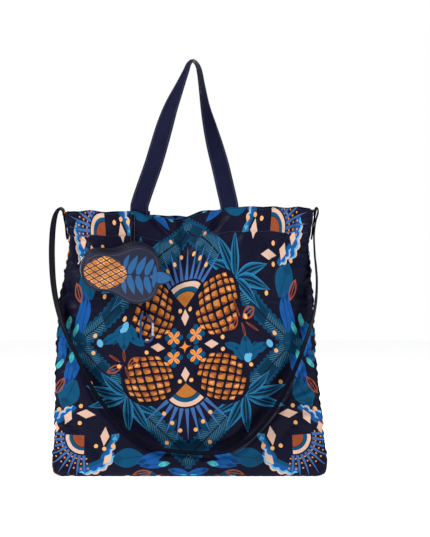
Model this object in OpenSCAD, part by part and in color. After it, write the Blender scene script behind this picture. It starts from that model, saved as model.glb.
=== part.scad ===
// Foldable tote bag with a clip-on stowage pouch, in millimetres.
// X runs to the right along the front, Y runs from front to back, Z is up.
// The origin is the middle of the base, on the floor.

/* [Bag] */
// Height of the bag from the floor to the hem
bag_h = 405; // [360:5:440]
// Width of the front panel along the base
base_w = 421; // [400:1:440]
// Width of the mouth along the hem
mouth_w = 378; // [370:1:386]
// Depth from the front panel to the back panel
bag_d = 76; // [70:1:90]
// Thickness of the cloth, with its seam allowance
cloth_t = 1.2; // [0.8:0.1:1.4]
// Depth of the turned-in hem
hem_h = 40; // [30:1:50]
// How far each panel moves in when the bag is folded flat
fold_travel = 30; // [10:1:30]

/* [Handles] */
// Width of a carrying handle
handle_w = 28; // [20:1:30]
// Thickness of the webbing
webbing_t = 1.6; // [1:0.1:1.8]
// Length of a handle's sewn-down end
foot_h = 36; // [24:1:38]
// Angle that the rear handle hangs away from the back panel
rear_hang = 4.5; // [4:0.5:8]

/* [Shoulder strap] */
// Width of the shoulder strap
strap_w = 24; // [16:1:26]
// Length of the strap's sewn-down end on each side
anchor_h = 34; // [20:1:50]

/* [Pouch] */
// Radius of the pouch's small end
fruit_r = 29; // [28:0.5:30]
// Half the height of the pouch's large end
crown_h = 43.5; // [41:0.5:45]
// Depth of the pouch
pouch_d = 30; // [28:1:34]
// Thickness of the pouch's walls
shell_t = 1.6; // [1.2:0.1:2]

/* [Clip] */
// Height of the clip over its ends
clip_h = 45.5; // [45:0.5:50]
// Width between the middles of the clip's two sides
clip_w = 18.2; // [17:0.2:20]
// Radius of the clip's wire
wire_r = 1.7; // [1.5:0.1:1.8]

/* [Hidden] */
$fn = 48;

// Colours of the cloth, webbing, leather and metal
print_blue = "#1d3f66";
facing_blue = "#23344f";
webbing_navy = "#1b1d33";
leather_grey = "#3a3b4c";
zip_black = "#16161c";
silver = "#c9ccd2";
clip_blue = "#2f5486";

// Gap between pieces that move past each other
gap = 0.5;
half_d = bag_d / 2;
// Share of the height and half the width there, from the floor up
side_line = [
    [0, base_w / 2], [0.12, base_w / 2 - 4], [0.54, base_w / 2 - 12],
    [0.71, base_w / 2 - 17], [0.87, mouth_w / 2 - 6], [1, mouth_w / 2]
];
panel_low = cloth_t + gap;
side_heights = [for (s = side_line) max(panel_low, s[0] * bag_h)];
facing_t = 0.8;
binding_w = 8;
binding_t = 1;

function half_w(z) = lookup(z / bag_h, side_line);

// Handle route: across, up from the hinge, and the angle that the webbing turns edge-on
handle_route = [
    [-76.2, 1.4, 0], [-75.9, 8, 0], [-73.2, 18, 1], [-65.7, 40, 2], [-55.2, 70, 5], [-46.2, 100, 10], [-37.2, 131, 20],
    [-27.2, 161, 38], [-14.2, 192, 58], [-4.2, 216, 70], [-0.2, 226, 74], [5.8, 231, 76], [11.8, 226, 76],
    [15.8, 216, 74], [19.8, 192, 70], [24.8, 161, 60], [31.8, 131, 42], [39.8, 100, 22], [47.8, 70, 10],
    [54.8, 40, 4], [59.8, 18, 1], [61.8, 8, 0], [62, 1.4, 0]
];
foot_x = [-76.2, 61.8];
handle_hinge_y = half_d + 1.2;
rear_hinge_y = half_d + 2;
hinge_z = bag_h + 1.5;

// Strap route: x, y, z and the angle that the webbing's front edge leans in
strap_route = [
    [-194.2, 0, 401, 4], [-195.2, 0, 408, 6], [-199.6, 0, 412, 10], [-205.4, -1, 407, 16],
    [-209.5, -3, 394, 22], [-212, -6, 370, 24], [-212, -14, 334, 24], [-208, -29, 292, 22],
    [-199.5, -45, 254, 20], [-188, -56, 222, 18], [-171, -58, 187, 17], [-148, -58, 138, 16],
    [-122, -58, 101, 16], [-97, -58, 74, 16], [-73, -58, 56, 16], [-47, -58, 45, 16],
    [-15, -58, 40, 16], [15, -58, 38, 16], [41, -58, 38, 16], [67, -58, 44, 16],
    [98, -58, 65, 16], [126, -58, 99, 16], [149, -58, 138, 16], [166, -58, 176, 15],
    [179, -58, 212, 14], [188, -58, 240, 12], [193.4, -56, 268, 10], [195.2, -51.5, 298, 8],
    [194.2, -43, 322, 7], [193, -30, 342, 6], [192.8, -12, 370, 6], [195.4, -4, 391, 6],
    [198.8, -1.5, 403, 6], [199.4, 0, 409.5, 6], [197.4, 0, 413, 6], [195.2, 0, 408.5, 5],
    [194.2, 0, 401, 4]
];

// Pouch: its small end's centre, its tilt, and where its back lies
pouch_at = [-135.6, 0, 318];
pouch_tilt = 5;
pouch_back_y = 47;
zip_w = 7;
zip_mid = pouch_back_y + pouch_d / 2;
// The zip runs from the upper side of the small end, round it, to below the large end
zip_start = 143;
arc_end = 274;
flank = [
    [2, -fruit_r], [9, -fruit_r], [17, -29.6], [25, -31.6], [34, -36], [45, -crown_h + 2.2],
    [57, -crown_h]
];
crown = [[57, -crown_h], [69, -crown_h + 2.6], [80, -34.6], [87, -24], [89.8, -10], [89.8, 0]];
slider_angle = 152;
slider_lift = 1.2;
bail_r = 0.6;
bail_out = fruit_r + 3.7;
puller_len = 12;
puller_angle = 247;

tether_x = -86;
tether_w = 8;
tether_hinge = [-41, 389];

clip_x = -64;
clip_y = -62;
clip_top = 251;
clip_half = clip_w / 2;
clip_top_r = 6;
eye_z = clip_top - wire_r;
eye_x = clip_x - clip_half + clip_top_r;
top_arc_z = eye_z - clip_top_r;
low_arc_z = clip_top - clip_h + wire_r + clip_half;
// The wire slants down from the top bend to its nose, above the gate
slant = 40;
slant_at = [eye_x + clip_top_r * cos(slant), top_arc_z + clip_top_r * sin(slant)];
gate_x = clip_x + clip_half;
slant_len = (gate_x - slant_at[0]) / sin(slant);
nose_z = slant_at[1] - slant_len * cos(slant);
gate_low = low_arc_z + 2.1;
gate_high = nose_z - wire_r - 0.4;
lug_z = low_arc_z + 0.3;
gate_r = 1.9;
pin_r = 0.6;

// ---------- Ribbons ----------

function unit(v) = v / norm(v);
function tangent(p, i) = unit(p[min(i + 1, len(p) - 1)] - p[max(i - 1, 0)]);
// A smooth curve through four points, at share t between the middle two
function through(a, b, c, d, t) =
    0.5 * (2 * b + (c - a) * t + (2 * a - 5 * b + 4 * c - d) * t * t
        + (3 * b - 3 * c + d - a) * t * t * t);
// A route with extra points between its own
function smooth(p, n) = [
    for (i = [0 : len(p) - 2], k = [0 : n - 1])
        through(p[max(i - 1, 0)], p[i], p[i + 1], p[min(i + 2, len(p) - 1)], k / n),
    p[len(p) - 1]
];
// Inward normal of a route seen from the front
function inward(t) = unit([-t[2], 0, t[0]]);
// Four corners of a ribbon's section
function section(p, t, across, w, thick) =
    let (side = unit(across - t * (across * t)), up = cross(t, side))
    [for (c = [[-1, -1], [1, -1], [1, 1], [-1, 1]]) p + side * c[0] * w / 2 + up * c[1] * thick / 2];

// Two triangles of a ribbon's side k, with the same diagonal on its two wide sides
function side_faces(i, k) =
    let (a = 4 * i + k, b = 4 * i + 4 + k, c = 4 * i + 4 + (k + 1) % 4, d = 4 * i + (k + 1) % 4)
    k < 2 ? [[a, b, c], [a, c, d]] : [[a, b, d], [b, c, d]];

// One closed solid through a list of four-cornered sections
module swept(rings) {
    end = 4 * (len(rings) - 1);
    sides = [for (i = [0 : len(rings) - 2], k = [0 : 3]) each side_faces(i, k)];
    polyhedron(
        points = [for (r = rings) each r],
        faces = concat([[0, 1, 2], [0, 2, 3], [end, end + 2, end + 1], [end, end + 3, end + 2]], sides),
        convexity = 8
    );
}

// ---------- Bag shell ----------

module panel_shape(inset = 0, low = panel_low, high = bag_h) {
    heights = [for (z = side_heights) if (z > low && z < high) z];
    all = concat([low], heights, [high]);
    up = [for (z = all) [half_w(z) - inset, z]];
    down = [for (i = [len(all) - 1 : -1 : 0]) [-(half_w(all[i]) - inset), all[i]]];
    polygon(concat(up, down));
}

// A flat layer of the front panel, from one distance inside its outer face to another
module front_layer(from, to) {
    translate([0, -half_d + to, 0]) rotate([90, 0, 0]) linear_extrude(to - from) children();
}

module panel_blank() {
    front_layer(0, cloth_t) panel_shape();
}

module hem_facing_blank() {
    front_layer(cloth_t, cloth_t + facing_t)
        panel_shape(binding_w + 1, bag_h - hem_h, bag_h - 0.2);
}

// Bound seam allowance down the inside of one edge
module side_binding_blank() {
    front_layer(cloth_t, cloth_t + binding_t) intersection() {
        difference() {
            panel_shape(0.6, panel_low + binding_w + 1, bag_h - 1);
            panel_shape(binding_w, 0, bag_h + 1);
        }
        square([base_w, bag_h]);
    }
}

module base_binding_blank() {
    front_layer(cloth_t, cloth_t + binding_t)
        translate([-half_w(0) + 4, panel_low + 0.3]) square([2 * half_w(0) - 8, binding_w]);
}

module foot_blank(x) {
    front_layer(cloth_t + facing_t, cloth_t + facing_t + webbing_t)
        translate([x - handle_w / 2, bag_h - foot_h - 1]) square([handle_w, foot_h]);
}

module to_back() {
    mirror([0, 1, 0]) children();
}

module front_panel() { color(print_blue) panel_blank(); }
module back_panel() { color(print_blue) to_back() panel_blank(); }
module front_hem_facing() { color(facing_blue) hem_facing_blank(); }
module back_hem_facing() { color(facing_blue) to_back() hem_facing_blank(); }
module front_right_binding() { color(webbing_navy) side_binding_blank(); }
module front_left_binding() { color(webbing_navy) mirror([1, 0, 0]) side_binding_blank(); }
module back_right_binding() { color(webbing_navy) to_back() side_binding_blank(); }
module back_left_binding() { color(webbing_navy) to_back() mirror([1, 0, 0]) side_binding_blank(); }
module front_base_binding() { color(webbing_navy) base_binding_blank(); }
module back_base_binding() { color(webbing_navy) to_back() base_binding_blank(); }
module front_left_foot() { color(webbing_navy) foot_blank(foot_x[0]); }
module front_right_foot() { color(webbing_navy) foot_blank(foot_x[1]); }
module back_left_foot() { color(webbing_navy) to_back() foot_blank(foot_x[0]); }
module back_right_foot() { color(webbing_navy) to_back() foot_blank(foot_x[1]); }

module base_panel() {
    half = half_w(0) + gap + cloth_t;
    color(print_blue) translate([-half, -half_d, 0]) cube([2 * half, bag_d, cloth_t]);
}

// One side, a strip that follows the panels' edges from the base to the hem
module side_blank() {
    heights = [for (s = side_line) max(cloth_t, s[0] * bag_h)];
    inner = [for (z = heights) [half_w(z) + gap, z]];
    outer = [for (i = [len(heights) - 1 : -1 : 0])
        [half_w(heights[i]) + gap + cloth_t, heights[i]]];
    translate([0, half_d, 0]) rotate([90, 0, 0]) linear_extrude(bag_d) polygon(concat(inner, outer));
}

module right_side_panel() { color(print_blue) side_blank(); }
module left_side_panel() { color(print_blue) mirror([1, 0, 0]) side_blank(); }

// The strap's sewn-down end, on the outside of one side panel
module anchor_blank() {
    low = bag_h - 5 - anchor_h;
    high = bag_h - 5;
    face = gap + cloth_t;
    translate([0, strap_w / 2, 0]) rotate([90, 0, 0]) linear_extrude(strap_w)
        polygon([[half_w(low) + face, low], [half_w(low) + face + webbing_t, low],
            [half_w(high) + face + webbing_t, high], [half_w(high) + face, high]]);
}

module right_strap_anchor() { color(webbing_navy) anchor_blank(); }
module left_strap_anchor() { color(webbing_navy) mirror([1, 0, 0]) anchor_blank(); }

// ---------- Straps ----------

// A handle's loop, standing up from a hinge line along X at the origin
module handle_loop() {
    p = smooth(handle_route, 3);
    line = [for (q = p) [q[0], 0, q[1]]];
    swept([for (i = [0 : len(p) - 1])
        let (t = tangent(line, i))
        section(line[i], t, inward(t) * cos(p[i][2]) + [0, sin(p[i][2]), 0], handle_w, webbing_t)]);
}

module front_handle() {
    color(webbing_navy) translate([0, -handle_hinge_y, hinge_z]) handle_loop();
}

module rear_handle() {
    color(webbing_navy) translate([0, rear_hinge_y, hinge_z])
        rotate([rear_hang - 180, 0, 0]) handle_loop();
}

module shoulder_strap() {
    p = smooth(strap_route, 2);
    line = [for (q = p) [q[0], q[1], q[2]]];
    color(webbing_navy) swept([for (i = [0 : len(p) - 1])
        let (t = tangent(line, i), lean = p[i][3])
        section(line[i], t, inward(t) * sin(lean) + [0, -cos(lean), 0], strap_w, webbing_t)]);
}

// ---------- Pouch ----------

// Puts the pouch's outline, drawn flat, in its place in front of the bag
module in_pouch() {
    translate(pouch_at) rotate([0, pouch_tilt, 0]) rotate([90, 0, 0]) children();
}

function arc(r, from, to, n) =
    [for (i = [0 : n - 1]) let (a = from + (to - from) * i / n) r * [cos(a), sin(a)]];
function flipped(p) = [for (i = [len(p) - 1 : -1 : 0]) [p[i][0], -p[i][1]]];
function turned(v) = [v[1], -v[0]];
function after(p) = [for (i = [1 : len(p) - 1]) p[i]];
function flat_tangent(p, i) =
    let (v = p[min(i + 1, len(p) - 1)] - p[max(i - 1, 0)]) v / norm(v);
zip_run = concat(arc(fruit_r, zip_start, arc_end, 30), smooth(flank, 4));
upper_side = flipped(smooth(concat(flank, after(crown)), 3));
spine_run = concat(smooth(crown, 3), after(upper_side),
    after(arc(fruit_r, 360 - arc_end, zip_start, 12)), [zip_run[0]]);

// The closed outline, anticlockwise, moved inwards by a distance
outline = concat(zip_run, [for (i = [1 : len(spine_run) - 2]) spine_run[i]]);
around = len(outline);
function moved(d) = [for (i = [0 : around - 1])
    let (v = outline[(i + 1) % around] - outline[(i + around - 1) % around])
    outline[i] - d * turned(v / norm(v))];
inner_line = moved(shell_t);

module pouch_outline(inset = 0) {
    polygon(moved(inset));
}

// A slice of the pouch's wall between two points of its outline
module wall_run(first, last, from, to) {
    translate([0, 0, from]) linear_extrude(to - from)
        polygon(concat([for (i = [first : last]) outline[i % around]],
            [for (i = [last : -1 : first]) inner_line[i % around]]));
}

// A slice of the pouch's wall, all the way round
module wall_slice(from, to) {
    translate([0, 0, from]) linear_extrude(to - from) difference() {
        pouch_outline();
        pouch_outline(shell_t);
    }
}

module pouch_front() {
    color(leather_grey) in_pouch() translate([0, 0, pouch_back_y + pouch_d - shell_t])
        linear_extrude(shell_t) pouch_outline();
}

module pouch_back() {
    color(leather_grey) in_pouch() translate([0, 0, pouch_back_y])
        linear_extrude(shell_t) pouch_outline();
}

module pouch_front_wall() {
    color(leather_grey) in_pouch()
        wall_slice(zip_mid + zip_w / 2, pouch_back_y + pouch_d - shell_t);
}

module pouch_back_wall() {
    color(leather_grey) in_pouch() wall_slice(pouch_back_y + shell_t, zip_mid - zip_w / 2);
}

module zip_tape() {
    color(zip_black) in_pouch()
        wall_run(0, len(zip_run) - 1, zip_mid - zip_w / 2, zip_mid + zip_w / 2);
}

module pouch_spine() {
    color(leather_grey) in_pouch()
        wall_run(len(zip_run) - 1, around, zip_mid - zip_w / 2, zip_mid + zip_w / 2);
}

// A block standing on the pouch's wall at a point of the zip
module on_zip(p, t, low, size) {
    translate([p[0], p[1], low]) rotate([0, 0, atan2(t[1], t[0]) - 90])
        translate([0.05, -size[1] / 2, 0]) cube(size);
}

// One row of teeth, between the stops, moved along by a share of their pitch
module teeth_row(low, shift) {
    for (i = [2 : len(zip_run) - 4])
        on_zip(zip_run[i] + shift * (zip_run[i + 1] - zip_run[i]), flat_tangent(zip_run, i), low,
            [0.7, 1.1, 1.3]);
}

module zip_front_teeth() { color(silver) in_pouch() teeth_row(zip_mid + 0.05, 0); }
module zip_back_teeth() { color(silver) in_pouch() teeth_row(zip_mid - 1.35, 0.5); }

module stop_blank(i) {
    color(silver) in_pouch() on_zip(zip_run[i], flat_tangent(zip_run, i), zip_mid - 2, [1, 1.6, 4]);
}

module zip_top_stop() { stop_blank(1); }
module zip_end_stop() { stop_blank(len(zip_run) - 2); }

// Leaf-shaped tab at the large end, to hold while unzipping
module pouch_pull_tab() {
    color(leather_grey) in_pouch() translate([0, 0, pouch_back_y + pouch_d - shell_t])
        linear_extrude(shell_t) difference() {
            polygon([[84, 17], [94, 9], [100, 7.5], [104.5, 4], [106.6, -1], [104.5, -6], [100, -9.5],
                [94, -11], [84, -18]]);
            pouch_outline(-0.05);
        }
}

// Tape that the pouch hangs from, from its hinge at the hem to the pouch's back
module pouch_tether() {
    y = tether_hinge[0];
    z = tether_hinge[1];
    back = -pouch_back_y;
    color(webbing_navy) translate([tether_x - tether_w / 2, 0, 0])
        rotate([90, 0, 90]) linear_extrude(tether_w)
            polygon([[y + 0.5, z - 0.8], [y - 0.5, z - 0.8], [back, 355], [back, 330],
                [back + 1, 330], [back + 1, 355.2]]);
}

module tether_anchor() {
    color(webbing_navy) translate([tether_x - tether_w / 2, -half_d - 1.2, tether_hinge[1] + 1])
        cube([tether_w, 1.2, 11]);
}

// Loop of tape under the pouch, with an eye for the clip
module clip_loop() {
    width = 4;
    color(webbing_navy) difference() {
        translate([eye_x - width / 2, clip_y, 0]) rotate([90, 0, 90]) linear_extrude(width)
            difference() {
                union() {
                    translate([0, eye_z]) circle(3.6);
                    translate([-1.2, eye_z]) square([2.4, 30]);
                }
                translate([0, eye_z]) circle(wire_r + 0.8);
            }
        in_pouch() translate([0, 0, pouch_back_y]) linear_extrude(pouch_d) pouch_outline(-0.02);
    }
}

// ---------- Zip slider ----------

module zip_slider() {
    color(silver) in_pouch() rotate([0, 0, slider_angle]) {
        translate([fruit_r + slider_lift, -4.5, zip_mid - 3.5]) cube([1, 9, 7]);
        for (z = [zip_mid - 2.6, zip_mid + 1.6])
            translate([fruit_r + slider_lift + 1, -0.9, z]) cube([2.1, 1.8, 1]);
        translate([bail_out, 0, zip_mid - 2.6]) cylinder(r = bail_r, h = 5.2);
    }
}

module zip_puller() {
    bail = bail_out * [cos(slider_angle), sin(slider_angle)];
    color(silver) in_pouch() translate([bail[0], bail[1], zip_mid - 0.5])
        rotate([0, 0, puller_angle]) difference() {
            union() {
                cylinder(r = 1.5, h = 1);
                translate([0, -1, 0]) cube([puller_len - 3, 2, 1]);
                translate([puller_len - 3, 0, 0]) cylinder(r = 2, h = 1);
            }
            translate([0, 0, -1]) cylinder(r = bail_r + 0.1, h = 3);
        }
}

// ---------- Clip ----------

// Points along a bend of the clip's wire
function bend(centre, r, from, to, n) =
    [for (i = [0 : n]) let (a = from + (to - from) * i / n)
        [centre[0] + r * cos(a), clip_y, centre[1] + r * sin(a)]];
clip_route = concat(
    [[gate_x, clip_y, nose_z]],
    bend([eye_x, top_arc_z], clip_top_r, slant, 180, 12),
    bend([clip_x, low_arc_z], clip_half, 180, 360, 18),
    [[gate_x, clip_y, lug_z]]
);

// The clip's wire, from its nose round to its lug
module clip_frame() {
    sides = 16;
    n = len(clip_route);
    color(clip_blue) polyhedron(
        points = [for (i = [0 : n - 1], k = [0 : sides - 1])
            let (t = tangent(clip_route, i), a = k * 360 / sides)
            clip_route[i] + wire_r * (cos(a) * inward(t) + sin(a) * [0, 1, 0])],
        faces = concat(
            [[for (k = [0 : sides - 1]) k], [for (k = [sides - 1 : -1 : 0]) sides * (n - 1) + k]],
            [for (i = [0 : n - 2], k = [0 : sides - 1])
                let (a = i * sides, b = a + sides, next = (k + 1) % sides)
                each [[a + k, b + next, a + next], [a + k, b + k, b + next]]]
        ),
        convexity = 6
    );
}

// Flattened end of the clip's wire, with the gate's pin through it
module gate_lug() {
    color(clip_blue) difference() {
        union() {
            translate([gate_x, clip_y, gate_low]) rotate([90, 0, 0])
                cylinder(r = 1.5, h = 1.2, center = true);
            translate([gate_x - 1.5, clip_y - 0.6, lug_z]) cube([3, 1.2, gate_low - lug_z]);
        }
        translate([gate_x, clip_y, gate_low]) rotate([90, 0, 0])
            cylinder(r = pin_r, h = 3, center = true);
    }
}

module gate_pin() {
    color(silver) translate([gate_x, clip_y, gate_low]) rotate([90, 0, 0])
        cylinder(r = pin_r, h = 2 * gate_r - 0.4, center = true);
}

module clip_gate() {
    slot_top = gate_low + 2.3;
    color(silver) difference() {
        union() {
            translate([gate_x, clip_y, gate_low]) cylinder(r = gate_r, h = gate_high - gate_low);
            intersection() {
                translate([gate_x, clip_y, gate_low]) rotate([90, 0, 0])
                    cylinder(r = 1.6, h = 2 * gate_r, center = true);
                translate([gate_x, clip_y, gate_low - 2]) cylinder(r = gate_r, h = 4);
            }
        }
        translate([gate_x - 3, clip_y - 0.75, gate_low - 3]) cube([6, 1.5, slot_top - gate_low + 3]);
        translate([gate_x, clip_y, gate_low]) rotate([90, 0, 0])
            cylinder(r = pin_r + 0.05, h = 6, center = true);
        translate([gate_x, clip_y, slot_top + 0.7]) cylinder(r = 0.85, h = 9);
    }
}

module gate_spring() {
    color(silver) translate([gate_x, clip_y, gate_low + 3.2]) difference() {
        cylinder(r = 0.75, h = 8.4);
        translate([0, 0, -1]) cylinder(r = 0.45, h = 11);
    }
}

base_panel();
left_side_panel();
right_side_panel();
left_strap_anchor();
right_strap_anchor();
front_panel();
front_hem_facing();
front_left_binding();
front_right_binding();
front_base_binding();
front_left_foot();
front_right_foot();
tether_anchor();
back_panel();
back_hem_facing();
back_left_binding();
back_right_binding();
back_base_binding();
back_left_foot();
back_right_foot();
front_handle();
rear_handle();
shoulder_strap();
pouch_front();
pouch_front_wall();
pouch_back_wall();
pouch_back();
pouch_spine();
zip_tape();
zip_front_teeth();
zip_back_teeth();
zip_top_stop();
zip_end_stop();
pouch_pull_tab();
pouch_tether();
clip_loop();
zip_slider();
zip_puller();
clip_frame();
gate_lug();
gate_pin();
clip_gate();
gate_spring();
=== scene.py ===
"""Looks of a foldable tote bag: puckered printed cloth, tape straps, a zip pouch and a small clip."""

import math

import bmesh
import bpy
import numpy as np
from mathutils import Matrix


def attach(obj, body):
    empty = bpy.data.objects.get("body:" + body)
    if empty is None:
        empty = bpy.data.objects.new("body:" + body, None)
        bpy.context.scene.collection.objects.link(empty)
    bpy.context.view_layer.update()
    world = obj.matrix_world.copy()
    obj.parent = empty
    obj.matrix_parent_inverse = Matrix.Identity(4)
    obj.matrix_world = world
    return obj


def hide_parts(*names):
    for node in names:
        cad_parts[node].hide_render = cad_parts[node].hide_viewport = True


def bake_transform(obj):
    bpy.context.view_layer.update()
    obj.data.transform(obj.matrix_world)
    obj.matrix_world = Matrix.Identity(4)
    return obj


bl_info = {
    "name": "Foldable tote bag",
    "version": (1, 0, 0),
    "blender": (4, 5, 0),
    "location": "View3D > Sidebar > Tote bag",
    "description": "Builds a printed foldable tote bag with its straps, pouch and clip",
    "category": "Add Mesh",
}

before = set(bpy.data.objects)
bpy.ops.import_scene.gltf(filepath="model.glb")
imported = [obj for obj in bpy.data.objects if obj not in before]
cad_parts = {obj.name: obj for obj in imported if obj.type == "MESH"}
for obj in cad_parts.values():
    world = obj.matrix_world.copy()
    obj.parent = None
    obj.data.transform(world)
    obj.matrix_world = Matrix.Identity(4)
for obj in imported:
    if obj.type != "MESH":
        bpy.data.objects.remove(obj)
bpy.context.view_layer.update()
MM = 0.001


# ---------- Sizes and colours ----------


def linear(code):
    """Linear colour with alpha from a hex code: c/12.92 when dark, else ((c + 0.055)/1.055)^2.4."""
    parts = [int(code[i : i + 2], 16) / 255 for i in (1, 3, 5)]
    return tuple(c / 12.92 if c < 0.04045 else ((c + 0.055) / 1.055) ** 2.4 for c in parts) + (1.0,)


def colour(name, code, words):
    """A colour property with its default from a hex code."""
    return bpy.props.FloatVectorProperty(
        name=name, description=words, subtype="COLOR", size=4, min=0, max=1, default=linear(code)
    )


def amount(name, default, words, low=0.0, high=1000.0):
    """A plain number property, in millimetres unless its words say otherwise."""
    return bpy.props.FloatProperty(name=name, description=words, default=default, min=low, max=high)


class TOTE_cloth_settings(bpy.types.PropertyGroup):
    """Shape and colours of the printed cloth."""

    bulge: amount("Bulge", 9.0, "How far the panels swell in front of their seams, in millimetres", 0, 14)
    pucker: amount("Pucker", 3.4, "Height of the puckers along the side seams, in millimetres", 0, 6)
    crease: amount("Crease", 10.0, "Depth of the fold below the middle of the mouth, in millimetres", 0, 14)
    cloth: amount("Cloth", 0.5, "Thickness of the cloth, in millimetres", 0.2, 1)
    ground: colour("Ground", "#0f0f24", "Ground of the print")
    teal: colour("Teal", "#064669", "Leaves and bands")
    frond: colour("Frond", "#1d6893", "Crown fronds")
    royal: colour("Royal blue", "#124f92", "Feather leaves")
    aqua: colour("Aqua", "#5ba3c8", "Veins and buds")
    ray: colour("Ray blue", "#3a5f98", "Rays")
    blush: colour("Blush", "#cfac99", "Rhombi and arcs")
    gold: colour("Gold", "#d3823a", "Fruit scales and dots")
    rust: colour("Rust", "#96492c", "Outlined leaves")


class TOTE_trim_settings(bpy.types.PropertyGroup):
    """Sizes and colours of the straps, pouch and clip."""

    tape: amount("Tape", 1.5, "Thickness of the strap tape, in millimetres", 0.8, 2.2)
    stitch: amount("Stitch", 2.8, "Length of one stitch, in millimetres", 1.5, 4)
    dome: amount("Dome", 2.6, "How far the pouch's faces swell, in millimetres", 0, 5)
    navy: colour("Tape navy", "#14152b", "Handles")
    black: colour("Strap black", "#080913", "Shoulder strap and tethers")
    leather: colour("Leather", "#1a1d32", "Pouch")
    metal: colour("Metal", "#c4c8cf", "Zip and gate")
    clip: colour("Clip blue", "#27508c", "Clip wire")


# ---------- Mesh helpers ----------


def material_of(obj, *materials):
    """Gives a piece its materials."""
    for m in materials:
        obj.data.materials.append(m)
    return obj


def mesh_piece(name, points, faces, uv=None):
    """A smooth piece from points in millimetres, faces, and a UV for each point."""
    mesh = bpy.data.meshes.new(name)
    mesh.from_pydata((np.asarray(points, float) * MM).tolist(), [], [list(map(int, f)) for f in faces])
    if uv is not None:
        layer = mesh.uv_layers.new(name="cloth")
        corner = np.zeros(len(mesh.loops), np.int32)
        mesh.loops.foreach_get("vertex_index", corner)
        layer.data.foreach_set("uv", np.asarray(uv, np.float32)[corner].ravel())
    mesh.polygons.foreach_set("use_smooth", np.ones(len(mesh.polygons), bool))
    mesh.update()
    obj = bpy.data.objects.new(name, mesh)
    bpy.context.scene.collection.objects.link(obj)
    return obj


def grid_faces(rows, columns, around=False, start=0):
    """Quads of a grid of rows by columns; around joins the last column to the first."""
    across = columns if around else columns - 1
    r, c = np.meshgrid(np.arange(rows - 1), np.arange(across), indexing="ij")
    n = (c + 1) % columns
    quads = np.stack([r * columns + c, r * columns + n, (r + 1) * columns + n, (r + 1) * columns + c], -1)
    return (quads.reshape(-1, 4) + start).tolist()


def surface(name, points, uv, flip=False):
    """An open sheet from a grid of points; flip turns its faces over."""
    rows, columns = points.shape[:2]
    faces = grid_faces(rows, columns)
    if flip:
        faces = [f[::-1] for f in faces]
    return mesh_piece(name, points.reshape(-1, 3), faces, uv.reshape(-1, 2))


def thicken(obj, thick, offset=-1.0, inner=0):
    """Gives a sheet its thickness, in millimetres; inner is the slot of its back."""
    solid = obj.modifiers.new("Cloth", "SOLIDIFY")
    solid.thickness, solid.offset = thick * MM, offset
    solid.material_offset = inner
    solid.use_even_offset = False
    return obj


def finished(obj):
    """Applies a piece's modifiers, so that its mesh is what is shown."""
    graph = bpy.context.evaluated_depsgraph_get()
    mesh = bpy.data.meshes.new_from_object(obj.evaluated_get(graph))
    obj.modifiers.clear()
    obj.data = mesh
    return obj


def outward(obj):
    """Joins doubled points and turns every face of a closed piece outwards."""
    b = bmesh.new()
    b.from_mesh(obj.data)
    bmesh.ops.remove_doubles(b, verts=b.verts, dist=1e-6)
    bmesh.ops.recalc_face_normals(b, faces=b.faces)
    b.to_mesh(obj.data)
    b.free()
    return obj


def unit(v):
    """Vectors divided by their lengths."""
    return v / np.maximum(np.linalg.norm(v, axis=-1, keepdims=True), 1e-9)


def tangents(path, closed=False):
    """Direction of a path at each point, from its neighbours."""
    if closed:
        return unit(np.roll(path, -1, 0) - np.roll(path, 1, 0))
    return unit(np.gradient(path, axis=0))


def lengths(path):
    """Distance along a path at each of its points."""
    return np.concatenate([[0], np.cumsum(np.linalg.norm(np.diff(path, axis=0), axis=1))])


def resampled(path, step):
    """The path with points a step apart, by straight lines between its own."""
    s = lengths(path)
    t = np.linspace(0, s[-1], max(2, int(round(s[-1] / step)) + 1))
    return np.stack([np.interp(t, s, path[:, k]) for k in range(path.shape[1])], -1)


def smoothed(points, n):
    """Catmull-Rom curve through points, n steps to a span: each span is the cubic through its ends
    whose end slopes are half the chord of the neighbours."""
    p = np.asarray(points, float)
    before, after = np.vstack([p[:1], p[:-2]]), np.vstack([p[2:], p[-1:]])
    a, b, c, d = before[:, None], p[:-1, None], p[1:, None], after[:, None]
    t = (np.arange(n) / n)[None, :, None]
    curve = 0.5 * (2 * b + (c - a) * t + (2 * a - 5 * b + 4 * c - d) * t**2 + (3 * b - 3 * c + d - a) * t**3)
    return np.vstack([curve.reshape(-1, p.shape[1]), p[-1:]])


def carried(path, side, up, profile, closed=False, capped=True):
    """A profile carried along a path: point(i, k) = path(i) + side(i) x(k) + up(i) y(k)."""
    profile = np.asarray(profile, float)
    points = path[:, None] + side[:, None] * profile[None, :, :1] + up[:, None] * profile[None, :, 1:]
    n, k = points.shape[:2]
    faces = grid_faces(n, k, around=True)
    if closed:
        last = (n - 1) * k
        faces += [[last + i, last + (i + 1) % k, (i + 1) % k, i] for i in range(k)]
    elif capped:
        faces += [list(range(k))[::-1], list(range((n - 1) * k, n * k))]
    return points.reshape(-1, 3), faces


def tube(path, radius, sides=8, closed=False, normal=(0, 1, 0)):
    """A round tube along a path, with its section at right angles to it."""
    t = tangents(path, closed)
    side = unit(np.cross(t, np.broadcast_to(np.asarray(normal, float), t.shape)))
    up = np.cross(side, t)
    a = np.arange(sides) * 2 * math.pi / sides
    return carried(path, side, up, np.stack([np.cos(a), np.sin(a)], -1) * radius, closed)


def tape_profile(width, thick):
    """Section of a woven tape: flat faces and rounded, slightly thicker edges."""
    w, t = width / 2, thick / 2
    x = np.array([-w, -w * 0.97, -w * 0.86, -w * 0.4, 0, w * 0.4, w * 0.86, w * 0.97])
    y = np.array([0, -t * 1.02, -t * 0.92, -t * 0.86, -t * 0.84, -t * 0.86, -t * 0.92, -t * 1.02])
    return np.stack([np.concatenate([x, -x]), np.concatenate([y, -y])], -1)


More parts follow.
